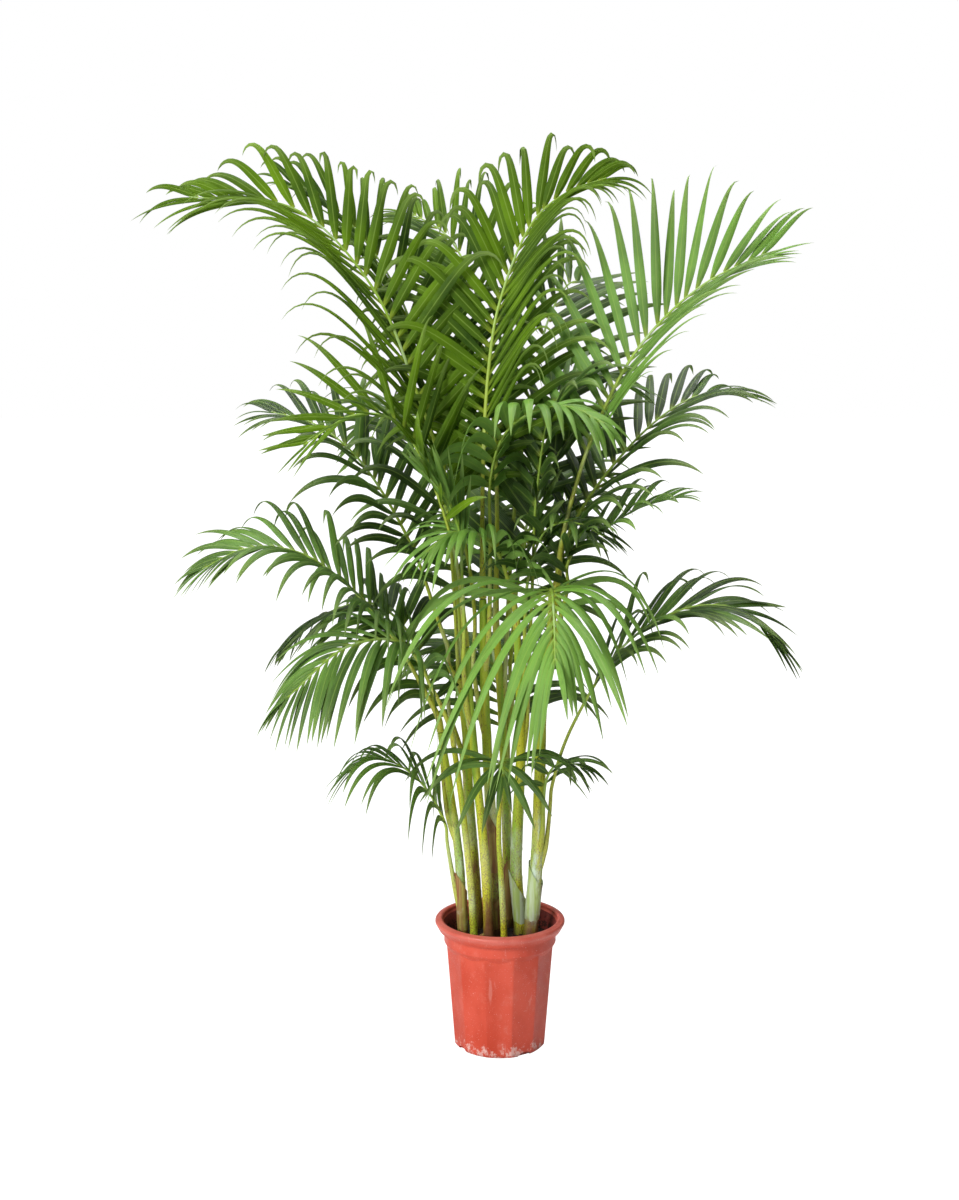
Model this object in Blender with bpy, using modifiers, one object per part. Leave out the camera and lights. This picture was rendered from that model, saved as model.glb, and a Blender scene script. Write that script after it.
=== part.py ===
"""A potted areca palm in a plastic nursery pot.

Metres, +Z up. The origin is the middle of the pot's flat base, and the palm's front faces -Y.
The pot, the compost and the palm rest in each other, so nothing here moves.
"""

import math

import bmesh
import bpy
import numpy as np
from mathutils import Matrix, Vector
from mathutils.bvhtree import BVHTree

# Pot
POT_HEIGHT = 0.245
POT_WALL = 0.003
POT_FLOOR = 0.004
RIM_RADIUS = 0.120  # outside of the rolled rim
RIM_DEPTH = 0.022  # height of the rim's band
MOUTH_RADIUS = 0.1075
COLLAR_RADIUS = 0.1035  # smooth band under the rim
COLLAR_DEPTH = 0.026
FACET_TOP_RADIUS = 0.1010
FOOT_RADIUS = 0.0862  # where the side meets the rounded bottom edge
FOOT_ROUND = 0.007
FACETS = 12
POT_SIDES = 36
FACET_TURN = math.radians(-1.5)  # from the front, -Y, to the middle of a facet

# Drain notches in the pot's bottom edge
NOTCHES = 4
NOTCH_WIDTH = 0.028
NOTCH_HEIGHT = 0.009
NOTCH_DEPTH = 0.010
NOTCH_TURN = math.radians(33)  # from the front to the first notch

# Compost
SOIL_TOP = 0.205
GAP = 0.0004  # between pieces that rest on each other

# Canes: (name, radius at the compost, radius at the top, axis points)
CANES = [
    ("cane_left", 0.0095, 0.0062,
     [(-0.069, -0.010, 0.22), (-0.074, -0.010, 0.34), (-0.081, -0.010, 0.41),
      (-0.095, -0.012, 0.51), (-0.108, -0.018, 0.60)]),
    ("cane_left_front", 0.0070, 0.0050,
     [(-0.048, -0.040, 0.22), (-0.054, -0.040, 0.32), (-0.063, -0.040, 0.41),
      (-0.073, -0.042, 0.50), (-0.084, -0.046, 0.58)]),
    ("cane_centre_left", 0.0095, 0.0062,
     [(-0.021, -0.030, 0.22), (-0.026, -0.030, 0.33), (-0.033, -0.030, 0.42),
      (-0.043, -0.030, 0.52), (-0.053, -0.030, 0.63), (-0.062, -0.030, 0.76)]),
    ("cane_centre", 0.0120, 0.0068,
     [(-0.005, 0.004, 0.22), (-0.011, 0.006, 0.38), (-0.019, 0.008, 0.47),
      (-0.028, 0.010, 0.66), (-0.032, 0.010, 0.84)]),
    ("cane_thin", 0.0060, 0.0042,
     [(0.007, -0.050, 0.22), (0.001, -0.050, 0.34), (-0.003, -0.052, 0.41), (-0.002, -0.056, 0.48)]),
    ("cane_right_centre", 0.0125, 0.0066,
     [(0.039, 0.020, 0.22), (0.030, 0.020, 0.32), (0.033, 0.020, 0.43),
      (0.038, 0.020, 0.57), (0.034, 0.020, 0.69), (0.030, 0.020, 0.78)]),
    ("cane_right", 0.0135, 0.0072,
     [(0.057, -0.010, 0.22), (0.068, -0.010, 0.37), (0.071, -0.010, 0.46),
      (0.075, -0.010, 0.64), (0.085, -0.010, 0.75), (0.099, -0.010, 0.86)]),
    ("cane_back_left", 0.0100, 0.0062,
     [(-0.041, 0.050, 0.22), (-0.048, 0.056, 0.34), (-0.056, 0.060, 0.45),
      (-0.063, 0.062, 0.57), (-0.074, 0.064, 0.66)]),
    ("cane_back_right", 0.0105, 0.0064,
     [(0.018, 0.056, 0.22), (0.015, 0.058, 0.33), (0.011, 0.060, 0.45),
      (0.004, 0.062, 0.60), (-0.006, 0.064, 0.76)]),
]
CANE_STEPS = 9
CANE_FOOT = 0.010  # length that stands straight on the compost
CANE_SIDES_RESOLUTION = 2

# A petiole that was cut off short, between the front canes
STUB_PLACE = (-0.034, -0.056)
STUB_RADIUS = 0.0045
STUB_HEIGHT = 0.026

# Fronds. Each starts from its cane at the height leaves_at, or from the cane's top if that is None,
# and lies in an upright plane at an azimuth from +X. spine holds (out, up) points in that plane:
# out from the cane's axis, up from the floor. The azimuth turns by swing towards the tip.
# bare is the share of the spine with no leaflets, reach and width are the longest leaflet's,
# vee is how far the leaflets stand above the rachis, droop how much they bend down, and roll
# turns the blade about the rachis. Where they are given, spread is the leaflets' angle from the
# rachis at the lowest pair and at the tip, lean opens the left side more than the right, and uneven
# makes the left side's leaflets longer. Angles are in degrees.
FRONDS = [
    dict(name="frond_top_left", cane="cane_centre", leaves_at=0.66, azimuth=184, swing=0,
         spine=[(0.03, 0.91), (0.12, 1.21), (0.20, 1.40), (0.33, 1.53), (0.51, 1.55)],
         spread=(50, 16), lean=-0.42, uneven=0.12,
         bare=0.36, pairs=13, reach=0.26, width=0.019, vee=12, droop=0.30, roll=-74),
    dict(name="frond_top_centre", cane="cane_centre", leaves_at=None, azimuth=10, swing=0,
         spine=[(0.0, 1.06), (0.01, 1.25), (0.03, 1.37), (0.09, 1.51), (0.15, 1.56), (0.22, 1.585)],
         spread=(48, 16), lean=0.36,
         bare=0.34, pairs=13, reach=0.25, width=0.019, vee=10, droop=0.60, roll=72),
    dict(name="frond_right_long", cane="cane_right", leaves_at=None, azimuth=-4, swing=0,
         spine=[(0.01, 0.95), (0.06, 1.13), (0.14, 1.29), (0.25, 1.40), (0.36, 1.455)],
         spread=(47, 18), lean=0.34, uneven=0.12,
         bare=0.36, pairs=13, reach=0.26, width=0.019, vee=18, droop=0.12, roll=50),
    dict(name="frond_top_left_back", cane="cane_back_left", leaves_at=0.56, azimuth=164, swing=0,
         spine=[(0.03, 0.94), (0.06, 1.17), (0.12, 1.37), (0.22, 1.51), (0.33, 1.58)],
         spread=(50, 16), lean=-0.42,
         bare=0.42, pairs=11, reach=0.23, width=0.021, vee=30, droop=0.25, roll=-50),
    dict(name="frond_top_back", cane="cane_back_right", leaves_at=None, azimuth=125, swing=0,
         spine=[(0.0, 0.98), (0.01, 1.14), (0.06, 1.37), (0.15, 1.48), (0.28, 1.53)],
         bare=0.38, pairs=11, reach=0.24, width=0.022, vee=22, droop=0.35, roll=-35),
    dict(name="frond_right_back", cane="cane_back_right", leaves_at=0.62, azimuth=64, swing=0,
         spine=[(0.05, 0.97), (0.10, 1.13), (0.20, 1.33), (0.31, 1.40), (0.43, 1.38)],
         bare=0.40, pairs=10, reach=0.25, width=0.022, vee=25, droop=0.20, roll=35),
    dict(name="frond_right_dark", cane="cane_right", leaves_at=0.74, azimuth=25, swing=0,
         spine=[(0.03, 0.93), (0.08, 1.02), (0.21, 1.15), (0.31, 1.20), (0.39, 1.20)],
         bare=0.28, pairs=11, reach=0.23, width=0.021, vee=15, droop=0.45, roll=10),
    dict(name="frond_right_middle", cane="cane_right", leaves_at=0.81, azimuth=-8, swing=0,
         spine=[(0.03, 0.92), (0.09, 0.97), (0.15, 1.01), (0.21, 1.03)],
         bare=0.20, pairs=8, reach=0.17, width=0.020, vee=20, droop=0.35, roll=5),
    dict(name="frond_left_upper", cane="cane_back_left", leaves_at=None, azimuth=172, swing=0,
         spine=[(0.04, 0.79), (0.09, 0.93), (0.19, 1.09), (0.27, 1.15), (0.35, 1.17)],
         bare=0.36, pairs=11, reach=0.23, width=0.020, vee=18, droop=0.45, roll=-25),
    dict(name="frond_left_spiky", cane="cane_centre_left", leaves_at=None, azimuth=196, swing=0,
         spine=[(0.02, 0.93), (0.07, 1.08), (0.13, 1.17), (0.20, 1.18), (0.29, 1.13)],
         bare=0.40, pairs=10, reach=0.22, width=0.018, vee=35, droop=0.15, roll=-40),
    dict(name="frond_left_long", cane="cane_left", leaves_at=None, azimuth=188, swing=0,
         spine=[(0.03, 0.68), (0.08, 0.77), (0.15, 0.86), (0.25, 0.935), (0.34, 0.945), (0.42, 0.91)],
         bare=0.31, pairs=13, reach=0.22, width=0.020, vee=20, droop=0.50, roll=-15),
    dict(name="frond_left_drooping", cane="cane_left_front", leaves_at=None, azimuth=203, swing=0,
         spine=[(0.04, 0.69), (0.10, 0.78), (0.20, 0.78), (0.31, 0.70)],
         bare=0.28, pairs=10, reach=0.22, width=0.021, vee=10, droop=0.80, roll=-15),
    dict(name="frond_left_dark", cane="cane_left", leaves_at=0.47, azimuth=148, swing=0,
         spine=[(0.03, 0.62), (0.09, 0.77), (0.17, 0.82), (0.28, 0.79), (0.38, 0.72)],
         bare=0.30, pairs=10, reach=0.21, width=0.021, vee=10, droop=0.75, roll=-10),
    dict(name="frond_low_left", cane="cane_left", leaves_at=0.33, azimuth=180, swing=0,
         spine=[(0.025, 0.42), (0.06, 0.49), (0.10, 0.53), (0.15, 0.55), (0.20, 0.53)],
         bare=0.45, pairs=7, reach=0.17, width=0.018, vee=10, droop=0.80, roll=0),
    dict(name="frond_centre_right", cane="cane_right_centre", leaves_at=0.62, azimuth=12, swing=0,
         spine=[(0.02, 0.84), (0.03, 1.05), (0.06, 1.19), (0.12, 1.24), (0.21, 1.22)],
         bare=0.55, pairs=8, reach=0.19, width=0.024, vee=15, droop=0.45, roll=10),
    dict(name="frond_right_low", cane="cane_right", leaves_at=0.40, azimuth=-6, swing=0,
         spine=[(0.025, 0.50), (0.06, 0.61), (0.16, 0.77), (0.27, 0.835), (0.36, 0.83), (0.43, 0.77)],
         spread=(40, 14),
         bare=0.42, pairs=11, reach=0.21, width=0.019, vee=5, droop=0.50, roll=12),
    dict(name="frond_low_right", cane="cane_right", leaves_at=0.43, azimuth=-60, swing=20,
         spine=[(0.02, 0.50), (0.035, 0.535), (0.06, 0.555), (0.10, 0.55)],
         bare=0.40, pairs=5, reach=0.12, width=0.017, vee=10, droop=0.70, roll=0),
    dict(name="frond_centre_dark", cane="cane_back_right", leaves_at=0.70, azimuth=12, swing=0,
         spine=[(0.03, 0.86), (0.06, 0.97), (0.09, 1.06), (0.13, 1.12)],
         bare=0.35, pairs=6, reach=0.19, width=0.032, vee=35, droop=0.10, roll=30),
    dict(name="frond_right_short", cane="cane_right_centre", leaves_at=0.68, azimuth=-40, swing=0,
         spine=[(0.02, 0.88), (0.06, 0.97), (0.12, 0.99), (0.19, 0.97)],
         bare=0.50, pairs=6, reach=0.15, width=0.019, vee=10, droop=0.60, roll=0),
    dict(name="frond_front_right", cane="cane_right", leaves_at=0.77, azimuth=-90, swing=0,
         spine=[(0.04, 0.86), (0.13, 0.88), (0.21, 0.85), (0.28, 0.79)],
         spread=(62, 18), uneven=-0.22,
         bare=0.14, pairs=9, reach=0.33, width=0.022, vee=6, droop=1.30, roll=8),
    dict(name="frond_front_centre", cane="cane_right_centre", leaves_at=None, azimuth=-148, swing=0,
         spine=[(0.015, 0.86), (0.04, 0.925), (0.085, 0.965), (0.14, 0.97), (0.19, 0.94)],
         spread=(68, 20),
         bare=0.32, pairs=9, reach=0.18, width=0.019, vee=10, droop=0.80, roll=0),
    dict(name="frond_front_top", cane="cane_centre", leaves_at=0.78, azimuth=-35, swing=0,
         spine=[(0.015, 0.95), (0.015, 1.06), (0.045, 1.14), (0.11, 1.185), (0.18, 1.195), (0.25, 1.17)],
         spread=(66, 20),
         bare=0.46, pairs=9, reach=0.19, width=0.022, vee=12, droop=0.85, roll=0),
    dict(name="leaf_folded", cane="cane_centre_left", leaves_at=0.68, azimuth=232, swing=0,
         spine=[(0.02, 0.90), (0.03, 0.98), (0.07, 1.04), (0.13, 1.09)],
         spread=(30, 10),
         bare=0.62, pairs=4, reach=0.13, width=0.014, vee=40, droop=0.05, roll=0),
    dict(name="leaf_young", cane="cane_thin", leaves_at=None, azimuth=-85, swing=0,
         spine=[(0.005, 0.53), (0.02, 0.56), (0.045, 0.565), (0.065, 0.55)],
         spread=(80, 12),
         bare=0.55, pairs=3, reach=0.18, width=0.022, vee=12, droop=0.90, roll=0),
    dict(name="frond_back_left", cane="cane_back_left", leaves_at=0.48, azimuth=118, swing=0,
         spine=[(0.03, 0.74), (0.09, 0.98), (0.19, 1.13), (0.33, 1.16), (0.45, 1.06)],
         bare=0.38, pairs=10, reach=0.24, width=0.021, vee=15, droop=0.50, roll=0),
    dict(name="frond_back_right", cane="cane_back_right", leaves_at=0.48, azimuth=72, swing=0,
         spine=[(0.03, 0.70), (0.10, 0.90), (0.21, 1.02), (0.34, 1.03), (0.45, 0.93)],
         bare=0.36, pairs=10, reach=0.23, width=0.021, vee=15, droop=0.55, roll=0),
    dict(name="frond_back_low", cane="cane_back_right", leaves_at=0.36, azimuth=100, swing=0,
         spine=[(0.03, 0.48), (0.08, 0.62), (0.17, 0.71), (0.28, 0.71), (0.38, 0.62)],
         bare=0.36, pairs=9, reach=0.20, width=0.020, vee=10, droop=0.65, roll=0),
]

PETIOLE_RADIUS = 0.0040
RACHIS_TIP_RADIUS = 0.0013
TOP_GAP = 0.0022  # between a cane's top and the frond that ends it
STRAIGHT_START = 0.025
PETIOLE_STATIONS = 6
SAMPLE_STEP = 0.005  # along a path, while it is kept clear of the others
PATH_CLEARANCE = 0.0016
CLEARING_ROUNDS = 60

LEAFLET_FOOT = 0.009  # length of rachis that one leaflet grows from
LEAFLET_THICKNESS = 0.0010
LEAFLET_TIP_WIDTH = 0.003
LEAFLET_TIP_THICKNESS = 0.0006
LEAFLET_SHOULDER = 0.42  # share of its length at which a leaflet is widest
LEAFLET_CLEARANCE = 0.0014
LEAFLET_INNER = 0.06  # share of a leaflet, by the rachis, that isn't tested against its own frond
SPREAD = (66, 22)  # a leaflet's angle from the rachis, at the lowest pair and at the tip
LEAST_ANGLE = 10  # whatever the swerve, so that a leaflet stays on its own side
ANGLE_FALL = 1.3  # above 1, the angle falls mostly near the tip
LAST_PAIR = 0.97  # share of the spine at which the last pair grows
SHORTEST_LEAFLET = 0.38  # share of the longest one's length
BEND_BY_SHOULDER = 0.12  # share of its droop that a leaflet has up to its shoulder
NARROWEST = 0.75  # share of its width that a shortened leaflet keeps at least
SWERVES = (0, 8, -8, 16, -16, 26, -26, 38, -38, 50)  # degrees tried when a leaflet meets another piece
SHORTENINGS = (1.0, 0.8, 0.6, 0.4)

UP = Vector((0, 0, 1))


def clear_scene():
    for obj in list(bpy.data.objects):
        bpy.data.objects.remove(obj, do_unlink=True)


def make_material(name, colour, roughness):
    material = bpy.data.materials.new(name)
    material.use_nodes = True
    shader = material.node_tree.nodes["Principled BSDF"]
    shader.inputs["Base Color"].default_value = (*colour, 1.0)
    shader.inputs["Roughness"].default_value = roughness
    shader.inputs["Metallic"].default_value = 0.0
    return material


def new_collection(name):
    collection = bpy.data.collections.new(name)
    bpy.context.scene.collection.children.link(collection)
    return collection


def add_mesh(name, bm, material, collection):
    mesh = bpy.data.meshes.new(name)
    bm.to_mesh(mesh)
    bm.free()
    mesh.materials.append(material)
    obj = bpy.data.objects.new(name, mesh)
    collection.objects.link(obj)
    return obj


def turned(name, profile, steps, material, collection):
    """Turns (radius, height) points about Z. The profile goes up its inside and down its outside."""
    bm = bmesh.new()
    verts = [bm.verts.new((r, 0, z)) for r, z in profile]
    for a, b in zip(verts, verts[1:]):
        bm.edges.new((a, b))
    obj = add_mesh(name, bm, material, collection)
    screw = obj.modifiers.new("turn", "SCREW")
    screw.steps = screw.render_steps = steps
    screw.use_merge_vertices = True
    screw.merge_threshold = 0.0001
    screw.use_smooth_shade = False
    return obj


def freeze(obj):
    """Applies an object's modifiers and gives it the result as its own mesh."""
    depsgraph = bpy.context.evaluated_depsgraph_get()
    mesh = bpy.data.meshes.new_from_object(obj.evaluated_get(depsgraph))
    obj.modifiers.clear()
    obj.data = mesh


# Pot and compost


def side_radius(height):
    """The pot's outside radius between its bottom edge and its collar."""
    top = POT_HEIGHT - RIM_DEPTH - COLLAR_DEPTH
    return FOOT_RADIUS + (FACET_TOP_RADIUS - FOOT_RADIUS) * (height - FOOT_ROUND) / (top - FOOT_ROUND)


def inner_radius(height):
    return side_radius(height) * math.cos(math.pi / FACETS) - POT_WALL


def pot_profile():
    rim_under = POT_HEIGHT - RIM_DEPTH
    collar_under = rim_under - COLLAR_DEPTH
    lip = 0.006
    inside = [(0.0, POT_FLOOR), (inner_radius(FOOT_ROUND) - 0.004, POT_FLOOR),
              (inner_radius(FOOT_ROUND), FOOT_ROUND + 0.002), (inner_radius(collar_under), collar_under),
              (COLLAR_RADIUS - POT_WALL, rim_under), (MOUTH_RADIUS, POT_HEIGHT - lip)]
    rim = [(MOUTH_RADIUS + 0.003, POT_HEIGHT - 0.001), (MOUTH_RADIUS + 0.007, POT_HEIGHT),
           (RIM_RADIUS - 0.002, POT_HEIGHT - 0.003), (RIM_RADIUS, POT_HEIGHT - 0.008),
           (RIM_RADIUS - 0.006, rim_under + 0.003), (RIM_RADIUS - 0.011, rim_under)]
    outside = [(COLLAR_RADIUS + 0.001, rim_under - 0.001), (COLLAR_RADIUS, collar_under + 0.008),
               (side_radius(collar_under), collar_under), (side_radius(FOOT_ROUND), FOOT_ROUND),
               (FOOT_RADIUS - 0.002, 0.002), (FOOT_RADIUS - FOOT_ROUND, 0.0), (0.0, 0.0)]
    return inside + rim + outside


def flatten_facets(obj):
    """Moves the side's outer vertices in, so that it has FACETS flat sides below the collar."""
    top = POT_HEIGHT - RIM_DEPTH - COLLAR_DEPTH + 0.001
    half = math.pi / FACETS
    for vertex in obj.data.vertices:
        x, y, z = vertex.co
        radius = math.hypot(x, y)
        if FOOT_ROUND - 0.001 < z < top and radius > side_radius(z) - 0.001:
            angle = math.atan2(x, -y) - FACET_TURN
            off = (angle + half) % (2 * half) - half
            flat = math.cos(half) / math.cos(off)
            vertex.co = (x * flat, y * flat, z)


def cut(obj, cutter):
    boolean = obj.modifiers.new("cut", "BOOLEAN")
    boolean.operation = "DIFFERENCE"
    boolean.object = cutter


def notch_cutters(collection):
    """One mesh of NOTCHES wedge boxes, turned about the pot's axis."""
    bm = bmesh.new()
    for k in range(NOTCHES):
        turn = NOTCH_TURN + k * 2 * math.pi / NOTCHES
        box = bmesh.ops.create_cube(bm, size=1.0)["verts"]
        size = Matrix.Diagonal((NOTCH_WIDTH, 2 * NOTCH_DEPTH, 2 * NOTCH_HEIGHT, 1))
        place = Matrix.Rotation(turn, 4, "Z") @ Matrix.Translation((0, -FOOT_RADIUS, 0))
        bmesh.ops.transform(bm, matrix=place @ size, verts=box)
    mesh = bpy.data.meshes.new("drain_notches")
    bm.to_mesh(mesh)
    bm.free()
    cutter = bpy.data.objects.new("drain_notches", mesh)
    cutter.hide_render = True
    cutter.display_type = "WIRE"
    collection.objects.link(cutter)
    return cutter


def make_pot(material, collection, cutters):
    pot = turned("pot", pot_profile(), POT_SIDES, material, collection)
    freeze(pot)
    flatten_facets(pot)
    cut(pot, notch_cutters(cutters))


def make_soil(material, collection):
    gap = 3 * GAP
    low = POT_FLOOR + gap
    collar_under = POT_HEIGHT - RIM_DEPTH - COLLAR_DEPTH
    side = [(inner_radius(collar_under) - gap, collar_under), (inner_radius(0.02) - gap, 0.02),
            (inner_radius(FOOT_ROUND) - 0.008, low)]
    top_radius = inner_radius(collar_under) - gap
    profile = [(0.0, SOIL_TOP), (top_radius - 0.004, SOIL_TOP), (top_radius, SOIL_TOP - 0.004)]
    turned("soil", profile + side + [(0.0, low)], POT_SIDES, material, collection)


# Paths


def smooth_path(points, step=SAMPLE_STEP):
    """A smooth curve through the points, sampled evenly. Returns an array of positions."""
    p = np.array(points, dtype=float)
    p = np.vstack([2 * p[0] - p[1], p, 2 * p[-1] - p[-2]])
    knots = np.concatenate([[0.0], np.cumsum(np.sqrt(np.linalg.norm(np.diff(p, axis=0), axis=1)))])
    dense = []
    for i in range(1, len(p) - 2):
        for t in np.linspace(knots[i], knots[i + 1], 16, endpoint=False):
            dense.append(between(p[i - 1:i + 3], knots[i - 1:i + 3], t))
    dense.append(p[-2])
    return even(np.array(dense), step)


def between(p, k, t):
    """Barry and Goldman's form of a centripetal Catmull-Rom segment."""
    a1 = (k[1] - t) / (k[1] - k[0]) * p[0] + (t - k[0]) / (k[1] - k[0]) * p[1]
    a2 = (k[2] - t) / (k[2] - k[1]) * p[1] + (t - k[1]) / (k[2] - k[1]) * p[2]
    a3 = (k[3] - t) / (k[3] - k[2]) * p[2] + (t - k[2]) / (k[3] - k[2]) * p[3]
    b1 = (k[2] - t) / (k[2] - k[0]) * a1 + (t - k[0]) / (k[2] - k[0]) * a2
    b2 = (k[3] - t) / (k[3] - k[1]) * a2 + (t - k[1]) / (k[3] - k[1]) * a3
    return (k[2] - t) / (k[2] - k[1]) * b1 + (t - k[1]) / (k[2] - k[1]) * b2


def lengths_along(path):
    return np.concatenate([[0.0], np.cumsum(np.linalg.norm(np.diff(path, axis=0), axis=1))])


def even(path, step):
    along = lengths_along(path)
    count = max(2, int(round(along[-1] / step)))
    return at_lengths(path, np.linspace(0, along[-1], count + 1))


def at_lengths(path, wanted):
    along = lengths_along(path)
    return np.column_stack([np.interp(wanted, along, path[:, i]) for i in range(3)])


def cane_path(points):
    foot = (points[0][0], points[0][1], SOIL_TOP + GAP)
    return smooth_path([foot] + points)


def cane_stations(path):
    """The few positions that a cane's tube is made from, with its foot standing straight."""
    total = lengths_along(path)[-1]
    return at_lengths(path, np.concatenate([[0.0, CANE_FOOT], np.linspace(0, total, CANE_STEPS + 1)[1:]]))


def frond_path(frond, canes):
    """The frond's petiole and rachis as positions, from beside or on top of its cane."""
    axis, radii = canes[frond["cane"]]
    azimuth = math.radians(frond["azimuth"])
    if frond["leaves_at"] is None:
        origin = axis[-1]
        chord = axis[-1] - cane_stations(axis)[-2]
        along = chord / np.linalg.norm(chord)
        start = origin + along * TOP_GAP
    else:
        i = int(np.argmin(abs(axis[:, 2] - frond["leaves_at"])))
        origin = axis[i]
        out = np.array([math.cos(azimuth), math.sin(azimuth), 0.0])
        start = origin + out * (radii[i] + PETIOLE_RADIUS + 2 * GAP)
        along = UP
    points = [start, start + np.array(along) * STRAIGHT_START]
    last = len(frond["spine"]) - 1
    for k, (out, up) in enumerate(frond["spine"]):
        turn = azimuth + math.radians(frond["swing"]) * k / last
        points.append((origin[0] + out * math.cos(turn), origin[1] + out * math.sin(turn), up))
    return smooth_path(points)


def petiole_radii(path):
    share = lengths_along(path) / lengths_along(path)[-1]
    return PETIOLE_RADIUS + (RACHIS_TIP_RADIUS - PETIOLE_RADIUS) * share


def away_from(place, path, radii):
    """The part of a tube that isn't right under a place, where a frond ends its cane."""
    far = np.linalg.norm(path - place, axis=1) > 2.5 * radii
    return path[far], radii[far]


def kept_clear(path, radii, others):
    """Eases a path away from the (positions, radii) of others, keeping its first point."""
    if not others:
        return path
    places = np.vstack([p for p, _ in others])
    sizes = np.concatenate([r for _, r in others])
    for _ in range(CLEARING_ROUNDS):
        apart = path[:, None, :] - places[None, :, :]
        distance = np.linalg.norm(apart, axis=2)
        short = radii[:, None] + sizes[None, :] + PATH_CLEARANCE - distance
        worst = np.argmax(short, axis=1)
        rows = np.arange(len(path))
        lack = np.clip(short[rows, worst], 0, None)
        if lack[2:].max() <= 0:
            break
        push = apart[rows, worst] / distance[rows, worst][:, None]
        push[:, 2] = 0
        move = push * lack[:, None] * 1.2
        spread = np.zeros_like(move)
        for shift in range(-6, 7):
            weight = 1 - abs(shift) / 7
            spread += np.roll(move, shift, axis=0) * weight * 0.35
        ease = np.clip(np.arange(len(path)) / 4, 0, 1)
        path = path + np.maximum(abs(spread), abs(move)) * np.sign(spread) * ease[:, None]
    return path


# Canes and fronds


def make_cane(name, path, radii, material, collection):
    places = cane_stations(path)
    sizes = np.interp(places[:, 2], path[:, 2], radii)
    curve = bpy.data.curves.new(name, "CURVE")
    curve.dimensions = "3D"
    curve.bevel_depth = 1.0
    curve.bevel_resolution = CANE_SIDES_RESOLUTION
    curve.use_fill_caps = True
    spline = curve.splines.new("POLY")
    spline.points.add(len(places) - 1)
    for point, place, size in zip(spline.points, places, sizes):
        point.co = (*place, 1.0)
        point.radius = size
    curve.materials.append(material)
    collection.objects.link(bpy.data.objects.new(name, curve))


def make_stub(material, collection):
    bm = bmesh.new()
    middle = SOIL_TOP + GAP + STUB_HEIGHT / 2
    bmesh.ops.create_cone(bm, cap_ends=True, segments=10, radius1=STUB_RADIUS, radius2=STUB_RADIUS * 0.9,
                          depth=STUB_HEIGHT, matrix=Matrix.Translation((*STUB_PLACE, middle)))
    add_mesh("cut_stub", bm, material, collection)


def blade_frames(frond, path):
    """For each position, the rachis's direction, its upper side and its left side."""
    azimuth = math.radians(frond["azimuth"] + frond["swing"] / 2)
    across = UP.cross(Vector((math.cos(azimuth), math.sin(azimuth), 0)))
    tangents = np.gradient(path, axis=0)
    frames = []
    for k, tangent in enumerate(tangents):
        ahead = Vector(tangent).normalized()
        upper = ahead.cross(across).normalized()
        left = upper.cross(ahead)
        share = k / (len(path) - 1)
        roll = Matrix.Rotation(math.radians(frond["roll"]) * min(1.0, 2 * share), 3, ahead)
        frames.append((ahead, roll @ upper, roll @ left))
    return frames


def leaflet_shares(frond):
    """Where along the spine, from 0 to 1, each pair of leaflets grows."""
    n = frond["pairs"]
    return [frond["bare"] + (LAST_PAIR - frond["bare"]) * k / (n - 1) for k in range(n)]


def leaflet_length(frond, along):
    """Leaflets are longest a third of the way along the leafy part."""
    swell = math.sin(math.pi * min(1.0, 0.25 + 0.75 * along) ** 0.8)
    return frond["reach"] * (SHORTEST_LEAFLET + (1 - SHORTEST_LEAFLET) * swell)


def sections_of_leaflet(frond, foot, frame, side, along, swerve, shrink):
    """The leaflet's shoulder and tip, each as (middle, across, normal, width, thickness)."""
    ahead, upper, left = frame
    first, last = frond.get("spread", SPREAD)
    opening = (first + (last - first) * along ** ANGLE_FALL) * (1 + side * frond.get("lean", 0))
    angle = math.radians(max(LEAST_ANGLE, opening + swerve))
    lift = math.radians(frond["vee"])
    outward = left * (side * math.cos(lift)) + upper * math.sin(lift)
    start = (ahead * math.cos(angle) + outward * math.sin(angle)).normalized()
    length = leaflet_length(frond, along) * (1 + side * frond.get("uneven", 0)) * shrink
    bent = (start - UP * frond["droop"]).normalized()
    eased = (start - UP * frond["droop"] * BEND_BY_SHOULDER).normalized()
    shoulder = foot + eased * length * LEAFLET_SHOULDER
    tip = shoulder + bent * length * (1 - LEAFLET_SHOULDER)
    sections = []
    across = ahead
    for middle, heading, width, thickness in (
        (shoulder, start, frond["width"] * (NARROWEST + (1 - NARROWEST) * shrink), LEAFLET_THICKNESS),
        (tip, bent, LEAFLET_TIP_WIDTH, LEAFLET_TIP_THICKNESS),
    ):
        across = (across - heading * across.dot(heading)).normalized()
        sections.append((middle, across, across.cross(heading) * side, width, thickness))
    return sections


def outline(section, grow=0.0):
    """A section's corners: back and front of the blade's lower face, then front and back of its upper."""
    middle, across, normal, width, thickness = section
    a = across * (width / 2 + grow)
    n = normal * (thickness / 2 + grow)
    return [middle - a - n, middle + a - n, middle + a + n, middle - a + n]


def tree_of_leaflet(foot, ahead, sections):
    """A slightly swollen copy of a leaflet, to test for room around it."""
    inner = foot.lerp(sections[0][0], LEAFLET_INNER / LEAFLET_SHOULDER)
    normal = sections[0][2]
    rings = [outline((inner, ahead, normal, LEAFLET_FOOT, LEAFLET_THICKNESS), LEAFLET_CLEARANCE)]
    rings += [outline(section, LEAFLET_CLEARANCE) for section in sections]
    verts = [corner for ring in rings for corner in ring]
    faces = [(0, 1, 2, 3), (8, 9, 10, 11)]
    for base in (0, 4):
        for i in range(4):
            j = (i + 1) % 4
            faces.append((base + i, base + j, base + 4 + j, base + 4 + i))
    return BVHTree.FromPolygons(verts, faces, all_triangles=False)


def has_room(tree, taken):
    return not any(tree.overlap(other) for other in taken)


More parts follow.
